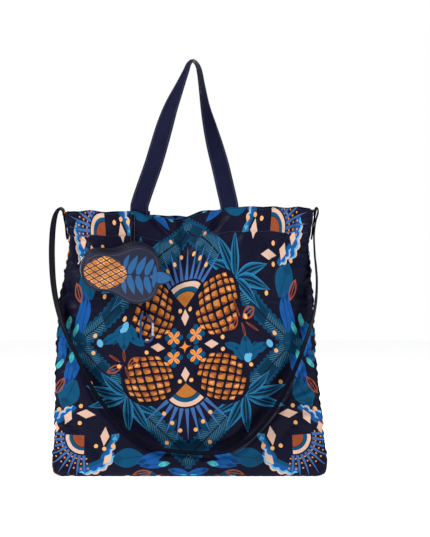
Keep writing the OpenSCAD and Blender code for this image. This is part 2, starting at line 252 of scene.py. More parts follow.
def stitch_row(path, normals, length, radius=0.28, share=0.72):
    """Stitches along a path that lies on cloth: each is a short thread, arched by its radius,
    (s, sin(pi s) r) for s from 0 to 1, that dips into the cloth at both ends."""
    line = resampled(np.hstack([path, normals]), length)
    a, b = line[:-1, :3], line[1:, :3]
    up = unit(line[:-1, 3:] + line[1:, 3:])
    b = a + (b - a) * share
    s = np.linspace(0, 1, 5)
    lift = (np.sin(s * math.pi) ** 0.6 - 0.45) * radius
    side = unit(np.cross(b - a, up))
    ring = np.arange(6) * math.pi / 3
    size = np.array([0.45, 0.9, 1, 0.9, 0.45]) * radius
    middle = a[:, None] + (b - a)[:, None] * s[None, :, None] + up[:, None] * lift[None, :, None]
    points = (
        middle[:, :, None]
        + side[:, None, None] * (np.cos(ring)[None, None, :, None] * size[None, :, None, None])
        + up[:, None, None] * (np.sin(ring)[None, None, :, None] * size[None, :, None, None])
    )
    one = np.array(grid_faces(5, 6, around=True))
    faces = (one[None] + (np.arange(len(a)) * 30)[:, None, None]).reshape(-1, 4).tolist()
    for start in range(0, len(a) * 30, 30):
        faces += [list(range(start + 5, start - 1, -1)), list(range(start + 24, start + 30))]
    return points.reshape(-1, 3), faces


# ---------- Waves and lines ----------


def ripple(x, lengths_mm, seed):
    """Sum of sines of the given wavelengths with seeded phases, from about -1 to 1."""
    phase = np.random.default_rng(seed).uniform(0, 2 * math.pi, len(lengths_mm))
    total = sum(np.sin(2 * math.pi * x / w + p) for w, p in zip(lengths_mm, phase))
    return total / math.sqrt(len(lengths_mm))


def crumple(x, z, low, high, count, seed):
    """Sum of plane waves in seeded directions with wavelengths from low to high, from about -1 to 1."""
    rng = np.random.default_rng(seed)
    total = 0
    for _ in range(count):
        a, p = rng.uniform(0, 2 * math.pi, 2)
        w = math.exp(rng.uniform(math.log(low), math.log(high)))
        total = total + np.sin(2 * math.pi * (x * math.cos(a) + z * math.sin(a)) / w + p)
    return total / math.sqrt(count)


def sharp(v, power=0.7):
    """Keeps the sign of a wave and sharpens its crests: sign(v) |v|^power turned over."""
    return np.sign(v) * (1 - (1 - np.minimum(np.abs(v), 1)) ** power)


def bell(x, width):
    """exp(-(x/width)^2)."""
    return np.exp(-((x / width) ** 2))


def line_bell(x, z, start, end, width):
    """A fold along a line: exp(-(distance from the line/width)^2), eased in and out along it."""
    way = np.subtract(end, start)
    long = np.hypot(*way)
    along = ((x - start[0]) * way[0] + (z - start[1]) * way[1]) / long
    off = ((x - start[0]) * way[1] - (z - start[1]) * way[0]) / long
    return bell(off, width) * eased(along, -12, 14) * (1 - eased(along, long - 25, long + 12))


def eased(x, low, high):
    """Smoothstep from 0 at low to 1 at high."""
    t = np.clip((x - low) / (high - low), 0, 1)
    return t * t * (3 - 2 * t)


def table_line(table, x, blur=22.0):
    """A table's straight lines softened by a running mean of blur millimetres."""
    keys = np.asarray(table, float)
    shifts = np.linspace(-blur / 2, blur / 2, 9)
    return np.mean([np.interp(x + d, keys[:, 0], keys[:, 1]) for d in shifts], 0)


LEFT_EDGE = [(0, 208), (12, 209.5), (28, 209), (60, 205.5), (120, 205), (195, 203), (268, 198.5), (304, 192),
             (329, 187), (353, 182.5), (378, 185), (393, 188), (412, 191)]
RIGHT_EDGE = [(0, 209), (12, 211), (28, 210.5), (60, 206.5), (110, 201.5), (150, 196.5), (195, 193), (268, 190),
              (304, 187),
              (329, 185), (353, 182), (378, 184), (393, 187), (412, 190)]
FRONT_HEM = [(-210, 405.5), (-92, 406), (-66, 400), (-45, 395), (-22, 393), (-8, 394.5), (8, 402), (30, 407),
             (60, 411), (100, 413), (170, 412.5), (210, 408)]
BACK_HEM = [(-210, 405), (-70, 402), (0, 400), (70, 402), (210, 405)]
# Straight folds of the front: both ends across and up, the depth (below 0 sinks in) and the width
FRONT_FOLDS = (
    (((-64, 404), (-8, 350)), -8.0, 6), (((60, 406), (2, 348)), -7.5, 6),
    (((-44, 400), (-4, 325)), 5.0, 7), (((36, 404), (4, 320)), 4.5, 7),
    (((110, 402), (40, 340)), -3.4, 8), (((-150, 396), (-60, 330)), -3.2, 8),
    (((172, 400), (120, 300)), -3.8, 9), (((-178, 392), (-150, 290)), -3.8, 9),
    (((-190, 90), (-120, 20)), -3.6, 9), (((186, 110), (110, 18)), -3.6, 9),
    (((-196, 300), (-150, 230)), -3.4, 8), (((190, 300), (140, 240)), -3.4, 8),
    (((-60, 120), (10, 60)), -2.6, 10),
)
MIDDLE_EDGE = [(0, 206), (60, 196), (200, 187), (300, 182), (345, 183), (372, 188), (405, 190.4)]
# Depth of the side seams from the middle, depth of the turned-in hem, the panels' nominal height, and the
# half width and the middle height of the print, in millimetres
SEAM_Y = 36.0
FOLD_TOP = 38.0
PANEL_H = 405
PRINT_HALF = 207
PRINT_MID = 202
# Wavelengths along a side seam, in millimetres
SEAM_WAVES = (23, 15.5, 11.3, 37, 61)


def seam_wave(z, side, seed):
    """Wave along one side seam at height z."""
    return sharp(ripple(z, SEAM_WAVES, seed + 7 * (side > 0)))


def edge_x(z, side):
    """Half width at height z, from the side's table."""
    return table_line(RIGHT_EDGE if side > 0 else LEFT_EDGE, z, 16)


def strap_line():
    """Points across and up of the strap's line where it lies on the front."""
    return smoothed([(-204, 300), (-199, 254), (-188, 222), (-171, 187), (-148, 138), (-122, 101), (-97, 74),
                     (-73, 56), (-47, 45), (-15, 40), (15, 38), (41, 38), (67, 44), (98, 65), (126, 99),
                     (149, 138), (166, 176), (179, 212), (188, 240), (195, 285)], 8)


def strap_gap(x, z):
    """Distance to the strap's line, below 0 outside the U."""
    line = strap_line()
    out = np.empty(x.shape)
    flat_x, flat_z, flat = x.ravel(), z.ravel(), out.ravel()
    d = (flat_x[:, None] - line[None, :, 0]) ** 2 + (flat_z[:, None] - line[None, :, 1]) ** 2
    near = np.argmin(d, 1)
    t = tangents(line)[near]
    across = (flat_x - line[near, 0]) * -t[:, 1] + (flat_z - line[near, 1]) * t[:, 0]
    flat[:] = np.sqrt(d[np.arange(len(near)), near]) * np.sign(across)
    return out


def side_puckers(z, gap, side, seed):
    """Ridges that run in from a side seam: wave(z) e^(-gap/26) (1 - e^(-gap/5))."""
    slant = z + 0.3 * gap * ripple(z, (90, 140), seed + 3)
    wave = sharp(ripple(slant, SEAM_WAVES, 11 + 7 * (side > 0)))
    return wave * np.exp(-gap / 26) * (1 - np.exp(-gap / 5))


def corner_folds(x, z, at_x, at_z, seed):
    """Folds that fan out from a pulled corner: sin(k angle) e^(-r/80) (1 - e^(-r/18))."""
    r = np.hypot(x - at_x, z - at_z)
    angle = np.arctan2(z - at_z, np.abs(x - at_x) * -1)
    wave = np.sin(9 * angle + seed) + 0.6 * np.sin(15 * angle + 2 * seed)
    return wave * np.exp(-r / 80) * (1 - np.exp(-r / 18))


def panel(u, v, front):
    """A panel's surface for u from -1 to 1 across and v from 0 to 1 up.
    x goes straight from the left edge to the right edge and z is v times the hem's height.
    y is the seam's depth, plus a swelling (1 - |u|^7)^(1/2), plus the folds."""
    cloth = bpy.context.scene.tote_cloth
    u, v = np.broadcast_arrays(np.asarray(u, float), np.asarray(v, float))
    mirror = -1 if front else 1
    seed = 1 if front else 40
    rough_x = u * 200
    hem = table_line(FRONT_HEM if front else BACK_HEM, rough_x, 26) + 1.0 * ripple(rough_x, (37, 58, 90), seed)
    z = 1.5 + v * (hem - 1.5)
    left, right = -edge_x(z, -1), edge_x(z, 1)
    x = left + (right - left) * (u + 1) / 2
    near_edge = np.exp(-(1 - np.abs(u)) * 200 / 14) * eased(z, 4, 40)
    x = x + 1.4 * np.sign(u) * seam_wave(z, np.sign(u), 11) * near_edge
    corner = 16.0
    into = np.clip((np.abs(rough_x) - (200 - corner)) / corner, 0, 1)
    z = z + (1 - np.sqrt(1 - into**2 * 0.995)) * corner * 0.55 * np.exp(-z / 26)
    gap_left, gap_right = x - left, right - x
    round_u = np.sqrt(1 - np.abs(u) ** 7)
    round_v = np.sqrt(1 - (1 - np.clip(v / 0.07, 0, 1)) ** 2)
    slim = 1 - (0.5 if front else 0.8) * eased(v, 0.7, 1.0)
    full = cloth.bulge * (1.0 if front else 0.72)
    swell = full * round_u * round_v * slim * (0.82 + 0.18 * np.cos(math.pi * (v - 0.4)))
    waves = cloth.pucker * side_puckers(z, gap_left, -1, seed)
    waves = waves + cloth.pucker * side_puckers(z, gap_right, 1, seed + 5)
    waves = waves + 2.0 * corner_folds(x, z, -193, 398, 1.0 + seed) + 2.0 * corner_folds(x, z, 188, 400, 2.2 + seed)
    calm = 1 - (0.35 if front else 0.75) * eased(v, 0.8, 1.0)
    waves = waves + 1.7 * crumple(x, z, 75, 150, 6, seed + 20) * calm
    waves = waves + 0.75 * sharp(crumple(x, z, 26, 55, 9, seed + 21)) * calm
    waves = waves + 0.16 * crumple(x, z, 9, 18, 10, seed + 22)
    waves = waves + 1.5 * np.exp(-z / 24) * sharp(ripple(x, (31, 19, 47, 13), seed + 23)) * eased(z, 2, 12)
    if front:
        hang = 1.6 * sharp(ripple(x, (46, 71, 33), 91)) * bell(z - hem, 95)
        lean = (x + 9) + (395 - z) * 0.022
        depth = cloth.crease * eased(z, 262, 372) * (0.75 + 0.25 * eased(z, 380, 402))
        narrow = 5.0 + 4.5 * eased(z, 330, 400)
        crease = -1.15 * depth * bell(lean, narrow) + 0.5 * depth * (bell(lean - 17, 12) + bell(lean + 18, 12))
        feet = 2.2 * np.exp(-(hem - z) / 55) * (bell(x + 76, 13) - bell(x + 54, 9) + bell(x - 62, 13) - bell(x - 41, 9))
        under = 1.3 * bell(x + 88, 7) * bell(z - 380, 40)
        gap = strap_gap(x, z)
        groove = -7.0 * bell(gap - 5, 12) + 3.4 * bell(gap - 30, 14) + 1.6 * bell(gap + 14, 8)
        waves = waves + hang + crease + feet + under + groove + 2.4 * crumple(x, z, 55, 110, 4, 93) * bell(gap - 30, 40)
        for ends, depth, wide in FRONT_FOLDS:
            waves = waves + depth * line_bell(x, z, *ends, wide)
    fade = np.clip(np.minimum(gap_left, gap_right) / 9, 0, 1) * np.clip(z / 9, 0, 1)
    seam = SEAM_Y + 1.1 * seam_wave(z, np.sign(u), 31) * (1 - fade) * eased(z, 4, 40)
    most = 46.6 if front else 42.5
    depth = seam + swell + waves * (0.12 + 0.88 * fade)
    depth = np.minimum(depth, most - 1.0 * np.exp(-(np.maximum(most - depth, 0)) / 2))
    return np.stack([x, mirror * np.maximum(depth, 26.5), z], -1)


def panel_at(x, z, front):
    """The panel's point nearest to a place across and up, by three corrections of u and v."""
    u, v = np.asarray(x, float) / 200, np.asarray(z, float) / PANEL_H
    for _ in range(4):
        p = panel(u, v, front)
        u = np.clip(u + (x - p[..., 0]) / 200, -1, 1)
        v = np.clip(v + (z - p[..., 2]) / PANEL_H, 0, 1)
    return u, v


def panel_normal(u, v, front):
    """Outward normal of a panel from small steps of u and v."""
    e = 0.004
    along = panel(np.minimum(u + e, 1), v, front) - panel(np.maximum(u - e, -1), v, front)
    up = panel(u, np.minimum(v + e, 1), front) - panel(u, np.maximum(v - e, 0), front)
    n = unit(np.cross(along, up))
    return n * np.sign(n[..., 1:2]) * (-1 if front else 1)


def print_place(u, v, front):
    """Place on the print in metres. Above the middle, over h eased in 70 mm, it is printed wider and
    shorter: x (1 + 0.13 h) and y / (1 + h (0.08 + 0.15 e)), e eased in 60 mm from the middle line. The
    hem's folded layer is printed a little lower."""
    z = v * PANEL_H
    y = z - PRINT_MID + np.where(z > PANEL_H - FOLD_TOP, 5.0, 0.0)
    x = u * PRINT_HALF + (1.5 if front else 24)
    high = eased(y, 0, 70)
    return np.stack([x * (1 + 0.13 * high), y / (1 + high * (0.08 + 0.15 * eased(np.abs(x), 0, 60)))], -1) * MM


# ---------- Shader helpers ----------


class Weave:
    """The nodes of one material, made by short calls."""

    def __init__(self, name):
        self.material = bpy.data.materials.new(name)
        self.material.use_nodes = True
        self.nodes = self.material.node_tree.nodes
        self.links = self.material.node_tree.links
        self.nodes.clear()

    def add(self, kind, *values, out=0, **settings):
        """A node of a kind, with its inputs in order and its settings by name; returns one output."""
        node = self.nodes.new("ShaderNode" + kind)
        for key, value in settings.items():
            setattr(node, key, value)
        for slot, value in zip(node.inputs, values):
            if isinstance(value, bpy.types.NodeSocket):
                self.links.new(value, slot)
            elif value is not None:
                slot.default_value = value
        return node.outputs[out]

    def m(self, operation, *values, clamp=False):
        """A Math node."""
        return self.add("Math", *values, operation=operation, use_clamp=clamp)

    def v(self, operation, *values, out=0):
        """A Vector Math node."""
        return self.add("VectorMath", *values, operation=operation, out=out)

    def size(self, p):
        """Length of a vector."""
        return self.v("LENGTH", p, out=1)

    def dot(self, p, direction):
        """Dot product with a fixed direction."""
        return self.v("DOT_PRODUCT", p, direction, out=1)

    def at(self, p, centre, turn=0.0, size=(1, 1)):
        """p in the axes of a motif: moved to its centre, turned by degrees and divided by its size."""
        return self.add("Mapping", p, (*centre, 0), (0, 0, math.radians(turn)), (*size, 1), vector_type="TEXTURE")

    def split(self, p):
        """x and y of a vector."""
        node = self.add("SeparateXYZ", p).node
        return node.outputs[0], node.outputs[1]

    def less(self, a, b):
        """1 where a is less than b."""
        return self.m("LESS_THAN", a, b)

    def both(self, *masks):
        """Product of masks."""
        found = masks[0]
        for mask in masks[1:]:
            found = self.m("MULTIPLY", found, mask)
        return found

    def either(self, *masks):
        """Largest of masks."""
        found = masks[0]
        for mask in masks[1:]:
            found = self.m("MAXIMUM", found, mask)
        return found

    def mix(self, mask, a, b, blend="MIX"):
        """Colour a, turned to b where the mask is 1."""
        node = self.nodes.new("ShaderNodeMix")
        node.data_type, node.blend_type = "RGBA", blend
        for slot, value in zip((node.inputs[0], node.inputs[6], node.inputs[7]), (mask, a, b)):
            if isinstance(value, bpy.types.NodeSocket):
                self.links.new(value, slot)
            else:
                slot.default_value = value
        return node.outputs[2]

    def ramp(self, value, *stops):
        """A colour ramp through (position, grey or colour) stops."""
        node = self.add("ValToRGB", value).node
        while len(node.color_ramp.elements) < len(stops):
            node.color_ramp.elements.new(0.5)
        for element, (place, tone) in zip(node.color_ramp.elements, stops):
            element.position = place
            element.color = tone if hasattr(tone, "__len__") else (tone, tone, tone, 1)
        return node.outputs[0]

    def noise(self, p, scale, detail=3.0, rough=0.55):
        """Fractal noise at a scale per metre."""
        node = self.nodes.new("ShaderNodeTexNoise")
        node.inputs["Scale"].default_value = scale
        node.inputs["Detail"].default_value = detail
        node.inputs["Roughness"].default_value = rough
        self.links.new(p, node.inputs["Vector"])
        return node.outputs[0]

    def bump(self, height, strength, distance, normal=None):
        """A bump of a height field; distance is in metres."""
        node = self.nodes.new("ShaderNodeBump")
        node.inputs["Strength"].default_value = strength
        node.inputs["Distance"].default_value = distance
        self.links.new(height, node.inputs["Height"])
        if normal is not None:
            self.links.new(normal, node.inputs["Normal"])
        return node.outputs[0]

    def surface(self, colour_in, roughness, normal=None, **plain):
        """The shader: linked colour, roughness and normal, and plain values by socket name."""
        shader = self.nodes.new("ShaderNodeBsdfPrincipled")
        for name, value in (("Base Color", colour_in), ("Roughness", roughness), ("Normal", normal)):
            if isinstance(value, bpy.types.NodeSocket):
                self.links.new(value, shader.inputs[name])
            elif value is not None:
                shader.inputs[name].default_value = value
        for name, value in plain.items():
            shader.inputs[name.replace("_", " ")].default_value = value
        end = self.nodes.new("ShaderNodeOutputMaterial")
        self.links.new(shader.outputs[0], end.inputs[0])
        return self.material

    def uv(self):
        """The piece's own UV map, in metres."""
        return self.add("UVMap", uv_map="cloth")

    def place(self):
        """Object coordinates."""
        return self.nodes.new("ShaderNodeTexCoord").outputs["Object"]


def tone(code, times=1.0):
    """A property's colour, made lighter or darker."""
    return (*(min(1.0, c * times) for c in tuple(code)[:3]), 1.0)


# ---------- Print ----------


# Leaves: centre, half length and half width, turn in degrees, and how strong the teal is
PLAIN_LEAVES = (
    ((184, 76), (24, 17), 62, 1.0), ((92, 174), (25, 15), 8, 1.0), ((26, 124), (15, 6), 52, 0.6),
    ((172, 10), (18, 8), 30, 0.7), ((205, 20), (13, 7), 120, 1.15), ((60, 200), (18, 7), -20, 0.7),
)
# Blue leaves of the border
FEATHER_LEAVES = (
    ((177, 38), (25, 8.5), 70), ((186, 44), (22, 6), 84), ((57, 174), (24, 8), 22),
    ((50, 184), (24, 6), 6), ((196, 8), (20, 6.5), 95), ((14, 196), (18, 6), -15),
)
# Small light tips on them
TIPS = (
    ((181, 20), (9, 4), 82), ((37, 183), (9, 4), 14), ((199, 30), (9, 4), 60), ((5, 204), (9, 4), -20),
)
# Light leaves beside a crown
LIT_LEAVES = (
    ((118, 120), (17, 7.5), 48), ((136, 112), (12, 6), 12), ((112, 140), (12, 6), 84),
)
# Leaves of the side flowers, which turn round with the cloth
FLOWER_LEAVES = (
    ((98, -6), (17, 9), 95), ((109, -14), (16, 8.5), 70), ((86, -14), (15, 8), 115),
    ((120, -8), (15, 7.5), 28), ((76, -6), (13, 6), -22),
)
# Outlined leaves of the side flowers
FLOWER_LINES = (
    ((112, 38), (14, 6), 24), ((82, 26), (13, 5.5), 42), ((97, 18), (10, 2.0), 96),
    ((112, 22), (11, 1.8), -32), ((92, 44), (11, 1.8), 110),
)
# Buds of the side flowers
BUDS = (
    ((100, -24), (5.4, 6.8), 10), ((136, -2), (4.6, 6.4), 30), ((104, -20), (3.4, 3.4), 0),
)
# Outlined leaves of the border
BORDER_LINES = (
    ((199, 64), (15, 6), 60), ((70, 198), (15, 5.5), 8), ((40, 206), (12, 5), 160),
)
# Rhombi: centre, half sizes and turn
RHOMBI = (
    ((43, 0), (11.5, 6.8)), ((0, 43), (6.8, 11.8)), ((128, 141), (7, 15), -4),
    ((157, 107), (15, 7), -4), ((185, 112), (6.5, 12), -24), ((122, 176), (11, 6), 52),
    ((205, 128), (6, 10), -10),
)
# Centres of the dots
DOTS = (
    (61, 9), (9, 53), (105, 34), (146, 13), (36, 104), (12, 130), (165, 95), (167, 121), (115, 156),
    (141, 156), (33, 150), (150, 60), (199, 100), (128, 160), (24, 118),
)


class Print(Weave):
    """A mirrored garden print, drawn in millimetres on a quarter of the cloth and folded over to the rest."""

    def __init__(self, name):
        super().__init__(name)
        self.c = bpy.context.scene.tote_cloth

    def ellipse(self, p, centre, half, turn=0.0):
        """1 inside an ellipse."""
        return self.less(self.size(self.at(p, centre, turn, half)), 1.0)

    def rhomb(self, p, centre, half, turn=0.0):
        """1 inside a rhombus: |x| + |y| < 1."""
        q = self.v("ABSOLUTE", self.at(p, centre, turn, half))
        return self.less(self.dot(q, (1, 1, 0)), 1.0)

    def leaf(self, p, centre, half, turn=0.0):
        """Leaf measure, below 1 inside: x^2 + |y| in the leaf's axes, and those axes."""
        q = self.at(p, centre, turn, half)
        x, y = self.split(q)
        return self.m("MULTIPLY_ADD", x, x, self.m("ABSOLUTE", y)), x, y

    def veined(self, base, p, centre, half, turn, body, vein, ribs=5.0):
        """A leaf with a middle rib and slanting side veins."""
        f, x, y = self.leaf(p, centre, half, turn)
        side = self.m("ABSOLUTE", y)
        wave = self.m("SINE", self.m("MULTIPLY", self.m("SUBTRACT", x, self.m("MULTIPLY", side, 0.6)), ribs * 3.1))
        veins = self.either(self.less(0.62, wave), self.less(side, 0.07))
        base = self.mix(self.less(f, 1.0), base, body)
        return self.mix(self.both(self.less(f, 0.82), veins), base, vein)

    def outlined(self, base, p, centre, half, turn, line):
        """A leaf drawn as a line with a middle rib."""
        f, _, y = self.leaf(p, centre, half, turn)
        edge = self.both(self.less(f, 1.0), self.either(self.less(0.66, f), self.less(self.m("ABSOLUTE", y), 0.1)))
        return self.mix(edge, base, line)

    def sun(self, base, p, centre, turn, scale, fill, spots=False):
        """A fan: a filled wedge, two arcs, and tapering rays outside them."""
        c = self.c
        q = self.at(p, centre, turn, (scale, scale))
        x, y = self.split(q)
        r = self.size(q)
        angle = self.m("ABSOLUTE", self.m("ARCTAN2", x, y))
        wedge = self.less(angle, 0.84)
        base = self.mix(self.both(wedge, self.less(r, 36.5)), base, c.blush)
        base = self.mix(self.both(self.less(angle, 0.86), self.less(r, 29.5)), base, c.teal)
        base = self.mix(self.both(self.less(angle, 0.86), self.less(r, 23.5)), base, c.ground)
        base = self.mix(self.both(wedge, self.less(r, 22.3)), base, fill)
        turnround = self.m("PINGPONG", angle, 0.105)
        across = self.m("MULTIPLY", turnround, r)
        taper = self.m("MULTIPLY_ADD", r, -0.062, 5.6)
        rays = self.both(self.less(angle, 0.95), self.less(39.5, r), self.less(across, taper))
        base = self.mix(rays, base, c.ray)
        if spots:
            off = self.m("PINGPONG", self.m("ADD", angle, 0.105), 0.105)
            ring = self.m("PINGPONG", self.m("SUBTRACT", r, 46.0), 5.0)
            near = self.m("ADD", self.m("POWER", self.m("MULTIPLY", off, r), 2.0), self.m("POWER", ring, 2.0))
            dots = self.both(self.less(near, 3.0), self.less(45, r), self.less(r, 74), self.less(angle, 1.0))
            base = self.mix(dots, base, c.gold)
        return base

    def fruit(self, base, p, centre, half, turn):
        """A fruit: a skewed lattice of faceted scales, kept where a scale's middle is in an ellipse."""
        c = self.c
        across, up = (0.075, 0.022), (-0.017, 0.088)
        back = np.linalg.inv(np.array([across, up]))
        q = self.at(p, centre, 0.0)
        grow = self.m("MULTIPLY_ADD", self.v("DOT_PRODUCT", q, q, out=1), 0.00018, 0.86)
        q = self.v("SCALE", q)
        q.node.inputs["Scale"].default_value = 1.0
        self.links.new(grow, q.node.inputs["Scale"])
        a, b = self.dot(q, (*across, 0)), self.dot(q, (*up, 0))
        whole_a, whole_b = self.m("ROUND", a), self.m("ROUND", b)
        cell = self.add("CombineXYZ", whole_a, whole_b, 0.0)
        middle = self.add("CombineXYZ", self.dot(cell, (*back[0], 0)), self.dot(cell, (*back[1], 0)), 0.0)
        kept = self.ellipse(middle, (0, 0), half, turn)
        part_a, part_b = self.m("SUBTRACT", a, whole_a), self.m("SUBTRACT", b, whole_b)
        far = self.m("MAXIMUM", self.m("ABSOLUTE", part_a), self.m("ABSOLUTE", part_b))
        cut = self.m("ADD", self.m("ABSOLUTE", part_a), self.m("ABSOLUTE", part_b))
        chance = self.add("TexWhiteNoise", cell, noise_dimensions="3D")
        hue = self.ramp(chance, (0.0, tone(c.gold, 0.2)), (0.5, tone(c.gold, 0.5)), (1.0, linear("#d08a4c")))
        hue = self.mix(self.less(self.m("ADD", part_a, self.m("MULTIPLY", part_b, -1.0)), -0.06), hue,
                       tone(c.gold, 0.8))
        hue = self.mix(self.less(self.m("ADD", part_b, self.m("MULTIPLY", part_a, 0.4)), -0.2), hue, tone(c.rust, 0.62))
        hue = self.mix(self.less(cut, 0.2), hue, self.ramp(chance, (0.0, tone(c.rust, 1.3)),
                                                           (0.6, tone(c.gold, 0.8)), (1.0, linear("#e9b27c"))))
        base = self.mix(self.ellipse(p, centre, (half[0] + 3, half[1] + 3), turn), base, tone(c.ground, 0.75))
        return self.mix(self.both(kept, self.less(far, 0.37), self.less(cut, 0.63)), base, hue)

    def frond(self, base, p, centre, turn, length, bend):
        """A curved frond: |y - bend x^2| < 0.135 sin(pi x^0.8) for x from 0 to 1 along its length, dark
        inside, with a light middle rib and combed edges."""
        c = self.c
        x, y = self.split(self.at(p, centre, turn, (length, length)))
        along = self.m("MAXIMUM", x, 0.0)
        side = self.m("ABSOLUTE", self.m("SUBTRACT", y, self.m("MULTIPLY", self.m("POWER", along, 2.0), bend)))
        wide = self.m("MULTIPLY", self.m("SINE", self.m("MULTIPLY", self.m("POWER", along, 0.8), math.pi)), 0.135)
        body = self.both(self.less(side, wide), self.less(along, 1.0))
        comb = self.less(-0.1, self.m("SINE", self.m("MULTIPLY",
                                                     self.m("SUBTRACT", x,
                                                            self.m("MULTIPLY", side, 1.4)), length * 2.4)))
        edge = self.both(body, self.less(self.m("MULTIPLY", wide, 0.52), side),
                         self.either(comb, self.less(self.m("MULTIPLY", wide, 0.82), side)))
        base = self.mix(body, base, tone(c.frond, 0.12))
        base = self.mix(edge, base, tone(c.frond, 1.3))
        return self.mix(self.both(body, self.less(side, 0.011)), base, tone(c.frond, 0.8))

    def crown(self, base, p, centre):
        """Fronds that fan out from a fruit and droop."""
        base = self.mix(self.ellipse(p, (113, 99), (41, 37), 45), base, self.c.ground)
        for turn, length, bend in ((141, 62, 0.2), (116, 66, 0.1), (92, 60, -0.04), (24, 64, -0.14), (0, 66, -0.22),
                                   (-27, 54, -0.24)):
            base = self.frond(base, p, centre, turn, length, bend)
        return base

    def band(self, base, p):
        """A band of woven leaves along |x| + |y| = 172, with slanting fine lines and lobed edges."""
        c = self.c
        t = self.m("MULTIPLY", self.m("SUBTRACT", self.dot(p, (1, 1, 0)), 172.0), 0.7071)
        s = self.m("MULTIPLY", self.dot(p, (1, -1, 0)), 0.7071)
        side = self.m("ABSOLUTE", t)
        lobes = self.m("ABSOLUTE", self.m("SINE", self.m("MULTIPLY", s, 0.42)))
        edge = self.m("MULTIPLY_ADD", lobes, 3.5, 12.5)
        inside = self.less(side, edge)
        lines = self.m("SINE", self.m("MULTIPLY", self.m("ADD", s, self.m("MULTIPLY", side, 0.7)), 1.85))
        beat = self.m("SINE", self.m("MULTIPLY", s, 0.075))
        hatch = self.both(inside, self.less(0.35, lines), self.less(side, 10.5), self.less(-0.5, beat))
        base = self.mix(inside, base, tone(c.teal, 0.42))
        base = self.mix(self.both(inside, self.less(11.0, side)), base, tone(c.teal, 0.8))
        base = self.mix(hatch, base, tone(c.aqua, 0.42))
        return self.mix(self.both(inside, self.less(side, 1.0)), base, tone(c.ground, 0.9))

    def plume(self, base, p, centre, radius, half, turn, reach):
        """A crescent of feathers round a point: |r - radius| < half sqrt(1 - (angle/reach)^2), with a
        scalloped outer edge and stripes."""
        c = self.c
        q = self.at(p, centre, turn)
        x, y = self.split(q)
        r = self.size(q)
        angle = self.m("ARCTAN2", x, y)
        taper = self.m("SQRT", self.m("MAXIMUM", self.m("SUBTRACT", 1.0,
                                                        self.m("POWER", self.m("DIVIDE", angle, reach), 2.0)), 0.0))
        off = self.m("SUBTRACT", r, radius)
        scallop = self.m("MULTIPLY", self.m("ABSOLUTE", self.m("SINE", self.m("MULTIPLY", angle, 13.0))), 3.2)
        wide = self.m("MULTIPLY", taper, half)
        inside = self.both(self.less(self.m("MULTIPLY", wide, -1.0), off),
                           self.less(off, self.m("ADD", wide, self.m("MULTIPLY", scallop, taper))))
        base = self.mix(inside, base, c.royal)
        tip = self.m("SUBTRACT", off, scallop)
        base = self.mix(self.both(inside, self.less(half * 0.25, tip)), base, tone(c.aqua, 1.05))
        base = self.mix(self.both(inside, self.less(half * 0.62, tip)), base, c.blush)
        return self.mix(self.both(inside, self.less(off, -half * 0.3)), base, c.teal)

    def star_flower(self, base, p, centre, turn):
        """A small flower: four petals, |cos 2a| to a radius, over four darker ones."""
        c = self.c
        q = self.at(p, centre, turn)
        x, y = self.split(q)
        r, angle = self.size(q), self.m("MULTIPLY", self.m("ARCTAN2", x, y), 2.0)
        lower = self.m("MULTIPLY", self.m("POWER", self.m("ABSOLUTE", self.m("SINE", angle)), 0.7), 15.0)
        upper = self.m("MULTIPLY", self.m("POWER", self.m("ABSOLUTE", self.m("COSINE", angle)), 1.2), 12.5)
        base = self.mix(self.less(r, lower), base, c.teal)
        base = self.mix(self.less(r, upper), base, tone(c.gold, 1.2))
        return self.mix(self.both(self.less(r, upper), self.less(self.m("ABSOLUTE", self.m("SINE", angle)), 0.13)),
                        base, c.rust)

    def drawn(self, uv):
        """All the motifs over the ground."""
        c = self.c
        p = self.add("Mapping", uv, (0, 0, 0), (0, 0, 0), (1000, 1000, 1))
        whole_x, whole_y = self.split(p)
        x, y = self.m("ABSOLUTE", whole_x), self.m("ABSOLUTE", whole_y)
        turned = self.add("CombineXYZ", x, self.m("MULTIPLY", whole_y, self.m("SIGN", whole_x)), 0.0)
        p = self.add("CombineXYZ", self.m("PINGPONG", x, 246.0), self.m("PINGPONG", y, 246.0), 0.0)
        base = self.mix(0.0, c.ground, c.ground)
        base = self.band(base, p)
        for at, half, turn, shade in PLAIN_LEAVES:
            tint = tone(c.teal, shade)
            base = self.veined(base, p, at, half, turn, tint, tone(tint, 0.72), 0.8)
        for at, half, turn in FEATHER_LEAVES:
            base = self.veined(base, p, at, half, turn, c.royal, tone(c.royal, 0.45), 0.9)
        for at, half, turn in TIPS:
            base = self.veined(base, p, at, half, turn, linear("#3fb6b8"), tone(c.aqua, 0.6), 2.0)
        for turn in (26, -104):
            base = self.plume(base, p, (160, 140), 52, 8.5, turn, 0.62)
        base = self.plume(base, p, (160, 140), 44, 5.5, 62, 0.42)
        base = self.plume(base, p, (160, 140), 44, 5.5, -140, 0.42)
        for at, half, turn in LIT_LEAVES:
            base = self.veined(base, p, at, half, turn, c.frond, tone(c.aqua, 0.9), 2.2)
        base = self.crown(base, p, (92, 78))
        base = self.fruit(base, p, (57.5, 50), (43, 38), 38)
        base = self.sun(base, p, (0, 57), 0, 1.0, tone(c.gold, 0.62))
        base = self.sun(base, p, (160, 140), 315, 0.78, tone(c.rust, 0.85), spots=True)
        base = self.star_flower(base, p, (18, 15.5), 45)
        for at, half, turn in FLOWER_LEAVES:
            base = self.veined(base, turned, at, half, turn, tone(c.teal, 1.1), tone(c.teal, 0.55), 0.7)
        for at, half, turn in FLOWER_LINES:
            base = self.outlined(base, turned, at, half, turn, tone(c.rust, 0.95))
        for at, half, turn in BUDS:
            base = self.mix(self.ellipse(turned, at, half, turn), base, c.aqua)
        for at, half, turn in BORDER_LINES:
            base = self.outlined(base, p, at, half, turn, tone(c.rust, 0.95))
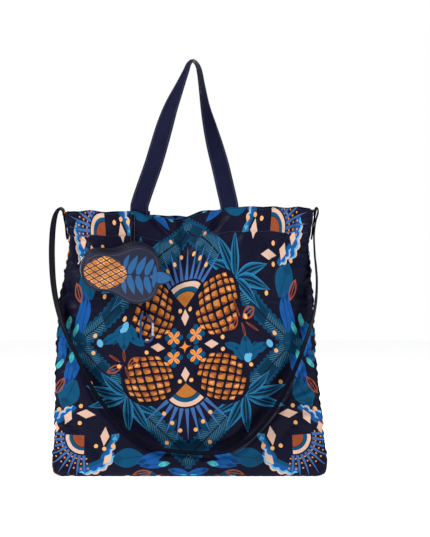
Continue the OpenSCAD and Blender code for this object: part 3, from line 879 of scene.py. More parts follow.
        rhombs = [self.rhomb(p, *r) for r in RHOMBI]
        base = self.mix(self.either(*rhombs), base, c.blush)
        near = None
        for spot in DOTS:
            away = self.v("DISTANCE", p, (*spot, 0), out=1)
            near = away if near is None else self.m("MINIMUM", near, away)
        base = self.mix(self.less(near, 3.2), base, linear("#dfa569"))
        root = self.v("POWER", self.v("ABSOLUTE", p), (0.5, 0.5, 1.0))
        return self.mix(self.less(self.dot(root, (1, 1, 0)), 3.3), base, c.gold)


def cloth_height(w, uv, pitch=0.0011):
    """Height of a plain weave: sin^2 along one thread plus sin^2 along the other."""
    p = w.add("Mapping", uv, (0, 0, 0), (0, 0, 0), (math.pi / pitch,) * 2 + (1,))
    x, y = w.split(p)
    return w.m("ADD", w.m("POWER", w.m("SINE", x), 2.0), w.m("POWER", w.m("SINE", y), 2.0))


def print_material(faded=False):
    """Printed cloth: satin, finely woven, with small creases. Faded is its reverse."""
    w = Print("printed_cloth_reverse" if faded else "printed_cloth")
    uv = w.uv()
    if faded:
        shade = w.noise(uv, 30)
        col = w.mix(w.ramp(shade, (0.35, 0.0), (0.7, 1.0)), linear("#222c42"), linear("#2b3a55"))
    else:
        ink = w.ramp(w.noise(uv, 420, 2), (0.3, 0.93), (0.7, 1.06))
        col = w.mix(1.0, w.drawn(uv), ink, "MULTIPLY")
    creases = w.bump(w.noise(uv, 60, 5, 0.62), 0.28, 0.0016)
    normal = w.bump(cloth_height(w, uv), 0.25, 0.00009, creases)
    return w.surface(col, 0.58 if faded else 0.46, normal, Sheen_Weight=0.008, Sheen_Roughness=0.4,
                     Specular_IOR_Level=0.07)


def tape_material(name, tint, ribs=0.0014, shine=0.05):
    """Woven tape: slanting ribs across its width, fine threads along its length and slight wear."""
    w = Weave(name)
    uv = w.uv()
    x, y = w.split(uv)
    zig = w.m("PINGPONG", w.m("ADD", x, 10.0), 0.0045)
    rib = w.m("POWER", w.m("SINE", w.m("MULTIPLY", w.m("ADD", y, zig), math.pi / ribs)), 2.0)
    thread = w.m("POWER", w.m("SINE", w.m("MULTIPLY", x, math.pi / 0.0007)), 2.0)
    cloudy = w.noise(uv, 55, 3)
    col = w.mix(w.ramp(cloudy, (0.3, 0.0), (0.75, 1.0)), tone(tint, 0.8), tone(tint, 1.25))
    # Painted highlight: the crests of the ribs are lightened towards 1.9 times the tint, following the rib height that
    # also drives the bump
    col = w.mix(w.m("MULTIPLY", rib, 0.35), col, tone(tint, 1.9))
    height = w.m("ADD", rib, w.m("MULTIPLY", thread, 0.4))
    creases = w.bump(w.noise(uv, 90, 4), 0.3, 0.0012)
    return w.surface(col, 0.66, w.bump(height, 0.45, 0.00016, creases), Sheen_Weight=shine, Sheen_Roughness=0.4,
                     Specular_IOR_Level=0.03)


def thread_material(name, tint):
    """Stitching thread: twisted, slightly shiny."""
    w = Weave(name)
    twist = w.noise(w.place(), 2500, 1)
    col = w.mix(w.ramp(twist, (0.3, 0.0), (0.7, 1.0)), tone(tint, 0.8), tone(tint, 1.3))
    return w.surface(col, 0.5, w.bump(twist, 0.3, 0.00008), Specular_IOR_Level=0.4)


def leather_nodes(w, place):
    """Grain of coated leather: cells with soft edges over fine noise."""
    cells = w.nodes.new("ShaderNodeTexVoronoi")
    cells.inputs["Scale"].default_value = 900
    w.links.new(place, cells.inputs["Vector"])
    return w.m("ADD", cells.outputs[0], w.m("MULTIPLY", w.noise(place, 300, 3), 0.6))


def leather_material():
    """Plain coated leather."""
    w = Weave("coated_leather")
    tint = bpy.context.scene.tote_trim.leather
    place = w.place()
    worn = w.ramp(w.noise(place, 25, 4), (0.35, 0.0), (0.8, 1.0))
    col = w.mix(worn, tone(tint, 0.75), tone(tint, 1.15))
    return w.surface(col, 0.5, w.bump(leather_nodes(w, place), 0.3, 0.0002), Specular_IOR_Level=0.25, Coat_Weight=0.03)


def pouch_print_material():
    """Coated leather with a printed fruit of cut scales and a fan of leaves, drawn on its UV."""
    w = Print("printed_leather")
    c, tint = w.c, bpy.context.scene.tote_trim.leather
    place, uv = w.place(), w.uv()
    p = w.add("Mapping", uv, (0, 0, 0), (0, 0, 0), (1000, 1000, 1))
    base = w.mix(w.ramp(w.noise(place, 25, 4), (0.35, 0.0), (0.8, 1.0)), tone(tint, 0.9), tone(tint, 1.15))
    fan_x, fan_y = w.split(w.at(p, (27, 0)))
    high = w.m("ABSOLUTE", fan_y)
    bow = w.m("ADD", fan_x, w.m("MULTIPLY", w.m("POWER", w.m("DIVIDE", high, 34.0), 1.6), -12.0))
    leaf = w.m("PINGPONG", w.m("SUBTRACT", bow, 4.0), 6.4)
    rise = w.m("DIVIDE", high, 34.0)
    wide = w.m("MULTIPLY", w.m("SINE", w.m("MULTIPLY", w.m("MINIMUM", w.m("ADD", rise, 0.12), 1.0), math.pi)), 5.4)
    blades = w.both(w.less(leaf, wide), w.less(high, 33.0), w.less(6.0, fan_x),
                    w.less(w.size(w.at(p, (57, 0), 0, (28, 37))), 1.0), w.less(0.9, high))
    base = w.mix(blades, base, linear("#1f5586"))
    tip, _, _ = w.leaf(p, (91, -0.8), (17, 8.5))
    base = w.mix(w.less(tip, 1.0), base, linear("#1f5586"))
    q = w.v("ABSOLUTE", w.at(p, (7, -1)))
    a = w.dot(w.at(p, (7, -1)), (0.062, 0.105, 0))
    b = w.dot(w.at(p, (7, -1)), (0.062, -0.105, 0))
    near = w.m("MINIMUM", w.m("PINGPONG", a, 0.5), w.m("PINGPONG", b, 0.5))
    body = w.less(w.dot(w.v("POWER", w.v("DIVIDE", q, (33.0, 25.0, 1.0)), (1.7, 1.7, 1.0)), (1, 1, 0)), 1.0)
    chance = w.add("TexWhiteNoise", w.add("CombineXYZ", w.m("ROUND", a), w.m("ROUND", b), 0.0), noise_dimensions="3D")
    hue = w.ramp(chance, (0.0, tone(c.gold, 0.62)), (1.0, linear("#dd9c62")))
    hue = w.mix(w.less(0.3, near), hue, tone(c.gold, 0.5))
    base = w.mix(w.both(body, w.less(0.1, near)), base, hue)
    return w.surface(base, 0.45, w.bump(leather_nodes(w, place), 0.28, 0.0002), Specular_IOR_Level=0.25,
                     Coat_Weight=0.03)


def metal_material(name, tint, rough=0.28):
    """Polished metal with fine scratches."""
    w = Weave(name)
    place = w.place()
    marks = w.noise(w.add("Mapping", place, (0, 0, 0), (0, 0, 0), (1, 1, 0.08)), 3000, 2)
    col = w.mix(w.ramp(w.noise(place, 200, 2), (0.3, 0.0), (0.8, 1.0)), tone(tint, 0.85), tone(tint, 1.1))
    return w.surface(col, w.ramp(marks, (0.3, rough * 0.7), (0.7, rough * 1.5)), w.bump(marks, 0.1, 0.00003),
                     Metallic=1.0)


def zip_tape_material():
    """Zip tape: fine ribs along its length."""
    w = Weave("zip_tape_cloth")
    place = w.place()
    col = w.mix(w.ramp(w.noise(place, 60, 3), (0.3, 0.0), (0.8, 1.0)), linear("#111218"), linear("#1e2029"))
    return w.surface(col, 0.72, w.bump(w.noise(place, 1600, 2), 0.4, 0.0002), Sheen_Weight=0.1)


MATERIALS = {}


def material(name):
    """One of the finishes, made the first time it is asked for."""
    trim = bpy.context.scene.tote_trim
    makers = {
        "print": print_material,
        "reverse": lambda: print_material(faded=True),
        "handle": lambda: tape_material("handle_tape", trim.navy, 0.0016, 0.02),
        "strap": lambda: tape_material("strap_tape", trim.black, 0.0014, 0.0),
        "thread": lambda: thread_material("navy_thread", trim.navy),
        "blue_thread": lambda: thread_material("teal_thread", linear("#14395a")),
        "pale_thread": lambda: thread_material("grey_thread", linear("#5b5f78")),
        "leather": leather_material,
        "pouch_print": pouch_print_material,
        "metal": lambda: metal_material("zip_metal", trim.metal),
        "clip": lambda: metal_material("clip_blue_metal", trim.clip, 0.33),
        "zip_tape": zip_tape_material,
    }
    if name not in MATERIALS:
        MATERIALS[name] = makers[name]()
    return MATERIALS[name]


# ---------- Piece helpers ----------


def assembled(name, parts):
    """One piece from parts, each (points, faces, slot number) with an optional UV for each point."""
    points, faces, slots, uvs, count = [], [], [], [], 0
    for part in parts:
        p = np.asarray(part[0], float).reshape(-1, 3)
        points.append(p)
        faces += [[int(i) + count for i in face] for face in part[1]]
        slots += [part[2]] * len(part[1])
        uvs.append(np.asarray(part[3], float) if len(part) > 3 else np.zeros((len(p), 2)))
        count += len(p)
    obj = mesh_piece(name, np.concatenate(points), faces, np.concatenate(uvs))
    obj.data.polygons.foreach_set("material_index", np.array(slots, np.int32))
    return outward(obj)


def strip(path, across, width, thick, rows=(), length=2.8, faces_of=(1, -1)):
    """Parts of a tape along a path: the tape itself, and rows of stitches on its faces at the given
    distances from its middle line."""
    t = tangents(path)
    side = unit(across - t * np.sum(across * t, -1, keepdims=True))
    up = np.cross(t, side)
    profile = tape_profile(width, thick)
    points, faces = carried(path, side, up, profile)
    run = np.repeat(lengths(path), len(profile))
    uv = np.stack([np.tile(profile[:, 0], len(path)), run], -1) * MM
    parts = [(points, faces, 0, uv)]
    for x in rows:
        for turn in faces_of:
            line = path + side * x + up * (turn * thick * 0.44)
            parts.append((*stitch_row(line, up * turn, length), 1))
    return parts


def inward(t):
    """Normal of a route in the plane of the front, to the left of its direction: (-t.z, 0, t.x)."""
    return unit(np.stack([-t[:, 2], np.zeros(len(t)), t[:, 0]], -1))


def pebble(centre, axes, half, power=0.5, rings=12, around=20):
    """Closed rounded block: half sizes times sign(c)|c|^power of a sphere's sines and cosines."""
    a, b = np.meshgrid(np.linspace(-math.pi / 2, math.pi / 2, rings), np.arange(around) * 2 * math.pi / around,
                       indexing="ij")
    bow = lambda v: np.sign(v) * np.abs(v) ** power
    local = np.stack([bow(np.cos(a)) * bow(np.cos(b)), bow(np.cos(a)) * bow(np.sin(b)), bow(np.sin(a))], -1)
    points = np.asarray(centre, float) + (local * np.asarray(half, float)) @ np.asarray(axes, float)
    return points.reshape(-1, 3), grid_faces(rings, around, around=True)


# ---------- Bag shell ----------

ACROSS, UP = 196, 190


def even_uv():
    """Grid of u and v, a little closer together near the edges."""
    u = np.sin(np.linspace(-1, 1, ACROSS) * 1.25) / math.sin(1.25)
    return np.meshgrid(u, np.linspace(0, 1, UP))


def make_panel(name, front):
    """One panel: the panel surface over the whole grid."""
    u, v = even_uv()
    obj = surface(name, panel(u, v, front), print_place(u, v, front), flip=not front)
    material_of(obj, material("print"), material("reverse"))
    return finished(thicken(obj, bpy.context.scene.tote_cloth.cloth, inner=1))


def edge_line(front, count=230):
    """A panel's edge from one end of the hem, down the side, along the base and up the other side,
    with the distance along the bag's middle to each of its points."""
    side = np.linspace(1, 0, count)
    u = np.concatenate([-np.ones(count), np.linspace(-1, 1, count)[1:-1], np.ones(count)])
    v = np.concatenate([side, np.zeros(count - 2), side[::-1]])
    return panel(u, v, front), u, v


def middle_line(u, v):
    """Middle of the gusset beside each point of the edge: half its width is the middle table at its
    height, drawn in with the wave of the seam, and its corners are rounded."""
    z = v * PANEL_H
    half = table_line(MIDDLE_EDGE, z, 16) + 1.2 * ripple(z, (31, 52, 83), 61) * eased(z, 10, 60)
    corner = 12.0
    low = np.clip(1 - z / corner, 0, 1)
    half = half - corner * 0.5 * low**2
    x = np.where(v > 0, np.sign(u) * half, u * half)
    lift = np.clip((np.abs(x) - (200 - corner)) / corner, 0, 1) ** 2 * 3.0
    top = np.where(u < 0, 405.5, 408.0)
    return np.stack([x, np.zeros(len(x)), np.where(v > 0, 1.6 + v * (top - 1.6) + lift * np.exp(-z / 8),
                                                   1.6 + lift)], -1)


def make_gusset(name, front):
    """Half of the side and base strip: between the middle line m and the panel's edge e the surface is
    m + (e - m) (t^1.6 across, t in depth), with small wrinkles that fade at both."""
    edge, u, v = edge_line(front)
    middle = middle_line(u, v)
    t = np.linspace(0, 1, 22)[None, :, None]
    bow = np.where((v > 0.02)[:, None, None], t**1.5, t)
    across = middle[:, None] * (1 - bow) + edge[:, None] * bow
    points = np.array(np.broadcast_to(across, (len(u), 22, 3)))
    points[..., 1] = edge[:, None, 1] * t[..., 0]
    run = lengths(middle)
    wrinkle = 1.4 * sharp(ripple(run, (29, 17, 43), 71 + front)) * eased(run, 0, 30)
    fine = crumple(points[..., 1] * 2, run[:, None] + 0 * points[..., 1], 8, 20, 8, 72)
    wrinkle = wrinkle[:, None] * np.sin(math.pi * t[..., 0]) + 0.35 * fine
    fade = np.sin(math.pi * np.clip(t[..., 0], 0, 1)) ** 0.5 * (t[..., 0] > 0) * (t[..., 0] < 1)
    out_x = np.where(v > 0, np.sign(u), 0.0)
    points[..., 0] += out_x[:, None] * wrinkle * fade
    points[..., 2] += np.where(v > 0, 0.0, 1.0)[:, None] * np.abs(wrinkle) * 0.5 * fade
    points[..., 2] = np.maximum(points[..., 2], 0.7)
    far = 36 * (1 - np.broadcast_to(t[..., 0], points.shape[:2]))
    side = np.broadcast_to((v > 0)[:, None], far.shape)
    uv = np.stack([np.where(side, (np.sign(u) * PRINT_HALF)[:, None] + np.sign(u)[:, None] * far,
                            (u * PRINT_HALF)[:, None] + 0 * far),
                   np.where(side, (v * PANEL_H - PRINT_MID)[:, None] + 0 * far, -PRINT_MID - far)], -1) * MM
    obj = surface(name, points, uv, flip=front)
    material_of(obj, material("print"), material("reverse"))
    return finished(thicken(obj, bpy.context.scene.tote_cloth.cloth, inner=1))


def make_hem(name, front):
    """The hem's turned-in layer: over the top of the panel in an arc of 0.85 mm, and down its inside
    1.45 mm behind it, 38 mm deep."""
    u = np.linspace(-0.985, 0.985, 170)
    turn = np.linspace(0, math.pi, 8)
    down = np.linspace(0, FOLD_TOP / PANEL_H, 16)[1:]
    v = np.concatenate([np.ones(8), 1 - down])
    out = np.concatenate([np.cos(turn) * 0.85 - 0.6, np.full(15, -1.45)])
    lift = np.concatenate([np.sin(turn) * 0.85, np.zeros(15)])
    uu, vv = np.meshgrid(u, v)
    base = panel(uu, vv, front)
    normal = panel_normal(uu, np.minimum(vv, 0.995), front)
    points = base + normal * out[:, None, None] + np.array([0, 0, 1.0]) * lift[:, None, None]
    obj = surface(name, points, print_place(uu, 2 - vv, front), flip=front)
    material_of(obj, material("print"), material("reverse"))
    return finished(thicken(obj, 0.35, inner=0))


def hem_stitches(name, front):
    """Two rows of stitches along the hem: over its lower fold, and just under its top."""
    parts = []
    for drop in (FOLD_TOP - 2.0, 2.6):
        u = np.linspace(-0.99, 0.99, 400)
        v = np.full(400, 1 - drop / PANEL_H)
        parts.append((*stitch_row(panel(u, v, front), panel_normal(u, v, front), 3.0, 0.3), 0))
    return material_of(assembled(name, parts), material("blue_thread"))


def make_binding(name, front):
    """The seam that joins a panel to the gusset: a rounded welt carried along the panel's edge."""
    line = resampled(edge_line(front)[0], 2.0)
    t = tangents(line)
    out = unit(np.cross(t, np.array([0, 1.0, 0])))
    out = out * np.sign(np.sum(out * (line - np.array([0, 0, 200.0])), -1, keepdims=True))
    a = np.arange(8) * math.pi / 4
    swell = 1 + 0.18 * ripple(lengths(line), (5.3, 7.9, 13), 81)
    profile = np.stack([np.cos(a), np.sin(a) * 0.8], -1)
    deep = np.broadcast_to(np.array([0, 1.0, 0]), t.shape)
    points = line[:, None] + (out * swell[:, None])[:, None] * profile[None, :, :1]
    points = points + deep[:, None] * profile[None, :, 1:]
    faces = grid_faces(len(line), 8, around=True) + [list(range(8))[::-1],
                                                     list(range((len(line) - 1) * 8, len(line) * 8))]
    run = np.repeat(lengths(line), 8)
    uv = np.stack([np.tile(a * 0.001, len(line)), run * MM], -1)
    return material_of(assembled(name, [(points.reshape(-1, 3), faces, 0, uv)]), material("print"))


def inside_y(x, z, front, half=14.0, deep=2.8):
    """Depth just inside a panel's hem, clear of its folds over a tape's width."""
    xs = np.linspace(x - half, x + half, 9)
    u, v = panel_at(xs, np.full(9, float(min(z, 398))), front)
    y = panel(u, v, front)[:, 1]
    return y.max() + deep if front else y.min() - deep


class TotePiece:
    """What every piece's operator shares."""

    bl_options = {"REGISTER", "UNDO"}

    def execute(self, context):
        """Makes the pieces; an error here stops the run."""
        self.make(context)
        return {"FINISHED"}


class TOTE_OT_stage(TotePiece, bpy.types.Operator):
    """Makes the camera, the floor and the studio light"""

    bl_idname = "tote.stage"
    bl_label = "Stage"

    def make(self, context):
        """Camera level with the middle of the bag, white floor, wide soft lights and a pale world."""
        scene = context.scene
        scene.view_settings.view_transform = "Standard"
        data = bpy.data.cameras.new("camera")
        data.lens, data.sensor_width, data.clip_end = 140, 36, 50
        camera = bpy.data.objects.new("camera", data)
        camera.location, camera.rotation_euler = (0.0398, -3.238, 0.319), (math.radians(90), 0, 0)
        scene.collection.objects.link(camera)
        scene.camera = camera

        g = np.linspace(-6000, 6000, 13)
        x, y = np.meshgrid(g, g)
        floor = surface("floor", np.stack([x, y, 0 * x - 0.02], -1), np.stack([x, y], -1))
        w = Weave("floor_white")
        grain = w.noise(w.place(), 3, 2)
        col = w.mix(w.ramp(grain, (0.3, 0.0), (0.7, 1.0)), (0.9, 0.9, 0.9, 1), (0.93, 0.93, 0.93, 1))
        material_of(floor, w.surface(col, 0.8, None, Emission_Color=(1, 1, 1, 1), Emission_Strength=0.72))

        world = bpy.data.worlds.new("studio")
        scene.world = world
        world.use_nodes = True
        nodes, links = world.node_tree.nodes, world.node_tree.links
        nodes.clear()
        kinds = ("Background", "Background", "MixShader", "OutputWorld")
        light, white, mix, end = (nodes.new("ShaderNode" + kind) for kind in kinds)
        light.inputs[0].default_value, light.inputs[1].default_value = (0.97, 0.98, 1, 1), 0.25
        white.inputs[0].default_value, white.inputs[1].default_value = (1, 1, 1, 1), 1.0
        links.new(nodes.new("ShaderNodeLightPath").outputs["Is Camera Ray"], mix.inputs[0])
        links.new(light.outputs[0], mix.inputs[1])
        links.new(white.outputs[0], mix.inputs[2])
        links.new(mix.outputs[0], end.inputs[0])

        for name, place, aim, size, power in (
            ("key_light", (-1.9, -1.7, 2.1), (0, 0, 0.25), 0.8, 80),
            ("fill_light", (2.3, -1.9, 0.9), (0, 0, 0.2), 1.2, 18),
            ("back_light", (0.6, 2.2, 2.2), (0, 0, 0.3), 1.6, 44),
        ):
            lamp = bpy.data.lights.new(name, "AREA")
            lamp.energy, lamp.size = power, size
            obj = bpy.data.objects.new(name, lamp)
            obj.location = place
            way = np.array(aim) - np.array(place)
            yaw, pitch = math.atan2(way[1], way[0]), math.atan2(-way[2], math.hypot(way[0], way[1]))
            obj.rotation_euler = (math.pi / 2 - pitch, 0, yaw - math.pi / 2)
            scene.collection.objects.link(obj)


class TOTE_OT_panels(TotePiece, bpy.types.Operator):
    """Makes the front and back panels"""

    bl_idname = "tote.panels"
    bl_label = "Panels"

    def make(self, context):
        """One sheet for each panel."""
        for name, front, body, node in (("front_cloth", True, "front", "front_panel"),
                                        ("back_cloth", False, "rear", "back_panel")):
            obj = make_panel(name, front)
            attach(obj, body)
            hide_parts(node)


class TOTE_OT_gusset(TotePiece, bpy.types.Operator):
    """Makes the strip round the sides and base"""

    bl_idname = "tote.gusset"
    bl_label = "Sides and base"

    def make(self, context):
        """Two halves of the strip, which meet along the middle and follow the panels."""
        for name, front, body, way, nodes in (
            ("gusset_front_half", True, "front", -1, ("left_side_panel", "right_side_panel")),
            ("gusset_rear_half", False, "rear", 1, ("base_panel",)),
        ):
            obj = make_gusset(name, front)
            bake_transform(obj)
            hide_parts(*nodes)


class TOTE_OT_hems(TotePiece, bpy.types.Operator):
    """Makes the turned-in hems and their stitches"""

    bl_idname = "tote.hems"
    bl_label = "Hems"

    def make(self, context):
        """A turned-in layer and two rows of stitches for each panel."""
        for side, front, body, node in (("front", True, "front", "front_hem_facing"),
                                        ("back", False, "rear", "back_hem_facing")):
            hem = make_hem(side + "_hem_cloth", front)
            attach(hem, body)
            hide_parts(node)
            thread = hem_stitches(side + "_hem_stitches", front)
            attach(thread, body)


class TOTE_OT_seams(TotePiece, bpy.types.Operator):
    """Makes the bound seams round the panels"""

    bl_idname = "tote.seams"
    bl_label = "Bound seams"

    def make(self, context):
        """One seam for each panel, down its sides and along its base."""
        for side, front, body in (("front", True, "front"), ("back", False, "rear")):
            obj = make_binding(side + "_seam", front)
            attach(obj, body)
            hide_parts(*(f"{side}_{part}_binding" for part in ("left", "right", "base")))


# ---------- Straps ----------

HANDLE_ROUTE = [
    (-76.2, 1.4, 0), (-75.9, 8, 0), (-73.2, 18, 1), (-65.7, 40, 2), (-55.2, 70, 5), (-46.2, 100, 10), (-37.2, 131, 20),
    (-27.2, 161, 38), (-14.2, 192, 58), (-4.2, 216, 70), (-0.2, 226, 74), (5.8, 231, 76), (11.8, 226, 76),
    (15.8, 216, 74), (19.8, 192, 70), (24.8, 161, 60), (31.8, 131, 42), (39.8, 100, 22), (47.8, 70, 10),
    (54.8, 40, 4), (59.8, 18, 1), (61.8, 8, 0), (62, 1.4, 0),
]
HINGE_Z = 406.5
STRAP_ROUTE = [
    (-194.2, 0, 401, 4), (-195.2, 0, 408, 6), (-199.6, 0, 412, 10), (-205.4, -1, 407, 16),
    (-209.5, -3, 394, 22), (-212, -6, 370, 24), (-212, -14, 334, 24), (-208, -29, 292, 22),
    (-199.5, -45, 254, 20), (-188, -56, 222, 18), (-171, -58, 187, 17), (-148, -58, 138, 16),
    (-122, -58, 101, 16), (-97, -58, 74, 16), (-73, -58, 56, 16), (-47, -58, 45, 16),
    (-15, -58, 40, 16), (15, -58, 38, 16), (41, -58, 38, 16), (67, -58, 44, 16),
    (98, -58, 65, 16), (126, -58, 99, 16), (149, -58, 138, 16), (166, -58, 176, 15),
    (179, -58, 212, 14), (188, -58, 240, 12), (193.4, -56, 268, 10), (195.2, -51.5, 298, 8),
    (194.2, -43, 322, 7), (193, -30, 342, 6), (192.8, -12, 370, 6), (195.4, -4, 391, 6),
    (198.8, -1.5, 403, 6), (199.4, 0, 409.5, 6), (197.4, 0, 413, 6), (195.2, 0, 408.5, 5),
    (194.2, 0, 401, 4),
]


def tilted(t, angles):
    """Direction of a handle's width: the inward normal turned edge-on by the angles."""
    a = np.radians(angles)[:, None]
    return inward(t) * np.cos(a) + np.array([0, 1.0, 0]) * np.sin(a)


def foot_points(x, front):
    """Route of a sewn-down end, inside the hem, from its lower end up."""
    return [(x, inside_y(x, z, front), z, 0) for z in (368, 380, 392, 400)]


class TOTE_OT_handles(TotePiece, bpy.types.Operator):
    """Makes the two carrying handles"""

    bl_idname = "tote.handles"
    bl_label = "Handles"

    def make(self, context):
        """Each handle is one tape from the foot inside the hem, round its loop, to its other foot."""
        trim = context.scene.tote_trim
        loop = smoothed(HANDLE_ROUTE, 4)
        loop = loop[(loop[:, 1] > 7.5)]
        for name, front, nodes in (
            ("front_handle_tape", True, ("front_handle", "front_left_foot", "front_right_foot")),
            ("rear_handle_tape", False, ("rear_handle", "back_left_foot", "back_right_foot")),
        ):
            turn = 0.0 if front else math.radians(4.5 - 180)
            hinge_y = -39.2 if front else 40.0
            ring = np.stack([loop[:, 0], hinge_y - math.sin(turn) * loop[:, 1],
                             HINGE_Z + math.cos(turn) * loop[:, 1], loop[:, 2]], -1)
            left, right = foot_points(-76.2, front), foot_points(62, front)
            if front:
                over_left, over_right = [(-76.2, -36.9, 406.5, 0)], [(62, -37.3, 410.5, 0)]
            else:
                over_left = [(-76.2, 36.3, 406, 0), (-76.2, 38.0, 408.6, 0), (-76.1, 39.8, 406, 0)]
                over_right = [(62, 36.3, 406, 0), (62, 38.0, 408.6, 0), (62, 39.8, 406, 0)]
            whole = np.array(left + over_left + ring.tolist() + over_right[::-1] + right[::-1])
            path = resampled(smoothed(whole, 4), 3.0)
            line, lean = path[:, :3], path[:, 3]
            sinc, cosc = math.sin(turn), math.cos(turn)
            t = tangents(line)
            flat = np.stack([t[:, 0], t[:, 1] * cosc + t[:, 2] * sinc, -t[:, 1] * sinc + t[:, 2] * cosc], -1)
            foot = (lean < 0.4)[:, None]
            side = tilted(flat, lean)
            side = np.stack([side[:, 0], side[:, 1] * cosc - side[:, 2] * sinc,
                             side[:, 1] * sinc + side[:, 2] * cosc], -1)
            half = np.where(np.arange(len(line)) < len(line) / 2, -1.0, 1.0)[:, None] * np.array([1.0, 0, 0])
            side = unit(np.where(foot, half, side))
            obj = assembled(name, strip(line, side, 28, trim.tape, rows=(-11.6, 11.6), length=trim.stitch))
            material_of(obj, material("handle"), material("pale_thread"))
            if front:
                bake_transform(obj)
            else:
                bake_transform(obj)
            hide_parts(*nodes)


class TOTE_OT_shoulder_strap(TotePiece, bpy.types.Operator):
    """Makes the long shoulder strap"""

    bl_idname = "tote.shoulder_strap"
    bl_label = "Shoulder strap"

    def make(self, context):
        """One tape cut where it starts to swing, and its ends sewn down on the sides."""
        trim = context.scene.tote_trim
        path = smoothed(STRAP_ROUTE, 8)
        t = tangents(path[:, :3])
        lean = np.radians(path[:, 3])[:, None]
        side = inward(t) * np.sin(lean) + np.array([0, -1.0, 0]) * np.cos(lean)
        cuts = {"strap_left_end": (0, 33), "strap_middle": (32, len(path) - 24),
                "strap_right_end": (len(path) - 25, len(path))}
        for name, (first, last) in cuts.items():
            parts = strip(path[first:last, :3], side[first:last], 24, trim.tape)
            obj = material_of(assembled(name, parts), material("strap"), material("thread"))
            if name == "strap_middle":
                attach(obj, "shoulder_strap")
                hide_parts("shoulder_strap")
            else:
                way = -1 if "left" in name else 1
                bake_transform(obj)
        for name, way in (("left", -1), ("right", 1)):
            z = np.linspace(364, 401.5, 16)
            x = table_line(MIDDLE_EDGE, z, 16) + 2.6
            x = x + (194.2 - x) * eased(z, 385, 401)
            line = np.stack([way * x, 0 * z, z], -1)
            parts = strip(line, np.tile((0, -1.0, 0), (16, 1)), 24, trim.tape, rows=(-9.6, 9.6), length=2.4)
            for low, ends in ((367, (-9.6, 9.6)), (383, (-9.6, 9.6))):
                n = 12
                y = np.linspace(*ends, n)
                xs = way * (np.interp(low, z, x) + trim.tape * 0.44)
                row = np.stack([np.full(n, xs), y, np.full(n, float(low))], -1)
                parts.append((*stitch_row(row, np.tile((way, 0, 0.0), (n, 1)), 2.4), 1))
            obj = material_of(assembled(f"{name}_strap_end_patch", parts), material("strap"), material("pale_thread"))
            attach(obj, "base")
            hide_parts(f"{name}_strap_anchor")


# ---------- Pouch ----------

FRUIT_R, ZIP_MID = 29.0, 62.0
FLANK = [(2, -29), (9, -29), (17, -29.6), (25, -31.6), (34, -36), (45, -41.3), (57, -43.5)]
CROWN = [(57, -43.5), (69, -40.9), (80, -34.6), (87, -24), (89.8, -10), (89.8, 0)]
POUCH_AT, TILT = (-135.6, 318.0), math.radians(5)


def pouch_point(u, v, depth):
    """World place of a point of the pouch: turned by its tilt about the small end's centre, and sheared
    with depth, u + 0.2 d and v - 0.26 d, d being the depth in front of the zip."""
    u, v, depth = np.broadcast_arrays(np.asarray(u, float), np.asarray(v, float), np.asarray(depth, float))
    slip = np.clip(depth - ZIP_MID, -15, 15) * (depth > 1)
    u, v = u + 0.2 * slip, v - 0.26 * slip
    x = POUCH_AT[0] + u * math.cos(TILT) + v * math.sin(TILT)
    z = POUCH_AT[1] - u * math.sin(TILT) + v * math.cos(TILT)
    return np.stack([x, -depth, z], -1)


def pouch_outline(count=260):
    """Closed outline, anticlockwise from the top of the small end: an arc, the flank and crown curves,
    and the same curves turned over."""
    a = np.radians(np.linspace(86, 274, 60))
    arc = np.stack([np.cos(a), np.sin(a)], -1) * FRUIT_R
    low = smoothed(FLANK + CROWN[1:], 6)
    high = (low * (1, -1))[::-1]
    line = np.vstack([arc, low, high[1:], arc[:1]])
    line = line[np.concatenate([[True], np.linalg.norm(np.diff(line, axis=0), axis=1) > 0.3])]
    s = lengths(line)
    t = np.arange(count) * s[-1] / count
    line = np.stack([np.interp(t, s, line[:, k]) for k in (0, 1)], -1)
    for _ in range(3):
        line = (np.roll(line, 1, 0) + 2 * line + np.roll(line, -1, 0)) / 4
    return line


def inset(line, d):
    """The outline moved inwards by a distance."""
    t = tangents(line, closed=True)
    return line - d * np.stack([t[:, 1], -t[:, 0]], -1)


def pouch_face(name, rings, dome, way, slots):
    """Half of the pouch's shell: rings of the outline at (inset, depth), then rings that shrink to the
    middle, s from 1 to 0, with the depth growing by dome (1 - s^2.2)."""
    line = pouch_outline()
    layers = [np.concatenate([inset(line, d), np.full((len(line), 1), y)], -1) for d, y in rings]
    last = layers[-1]
    centre = np.array([33.0, 0.0])
    for s in np.linspace(1, 0, 16)[1:]:
        flat = centre + (last[:, :2] - centre) * s
        layers.append(np.concatenate([flat, last[:, 2:] + way * dome * (1 - s**2.2)], -1))
    grid = np.stack(layers)
    points = pouch_point(grid[..., 0], grid[..., 1], grid[..., 2])
    faces = grid_faces(*grid.shape[:2], around=True)
    faces = [f if way > 0 else f[::-1] for f in faces]
    obj = mesh_piece(name, points.reshape(-1, 3), faces, grid[..., :2].reshape(-1, 2) * MM)
    on_face = np.repeat(np.arange(grid.shape[0] - 1) >= slots, grid.shape[1])
    obj.data.polygons.foreach_set("material_index", on_face.astype(np.int32))
    b = bmesh.new()
    b.from_mesh(obj.data)
    bmesh.ops.remove_doubles(b, verts=b.verts, dist=1e-6)
    b.to_mesh(obj.data)
    b.free()
    return obj


def band_of(name, line, low, high, sink=0.3):
    """A strip of the pouch's side between two depths, a little hollow: inset sink + 0.4 sin(pi t)."""
    t = np.linspace(0, 1, 7)
    tangent = tangents(line)
    out = np.stack([tangent[:, 1], -tangent[:, 0]], -1)
    flat = line[:, None] - out[:, None] * (sink + 0.4 * np.sin(math.pi * t))[None, :, None]
    depth = np.broadcast_to(low + (high - low) * t, flat.shape[:2])
    points = pouch_point(flat[..., 0], flat[..., 1], depth)
    uv = np.stack([np.broadcast_to(lengths(line)[:, None], depth.shape), depth], -1) * MM
    return surface(name, points, uv, flip=True)


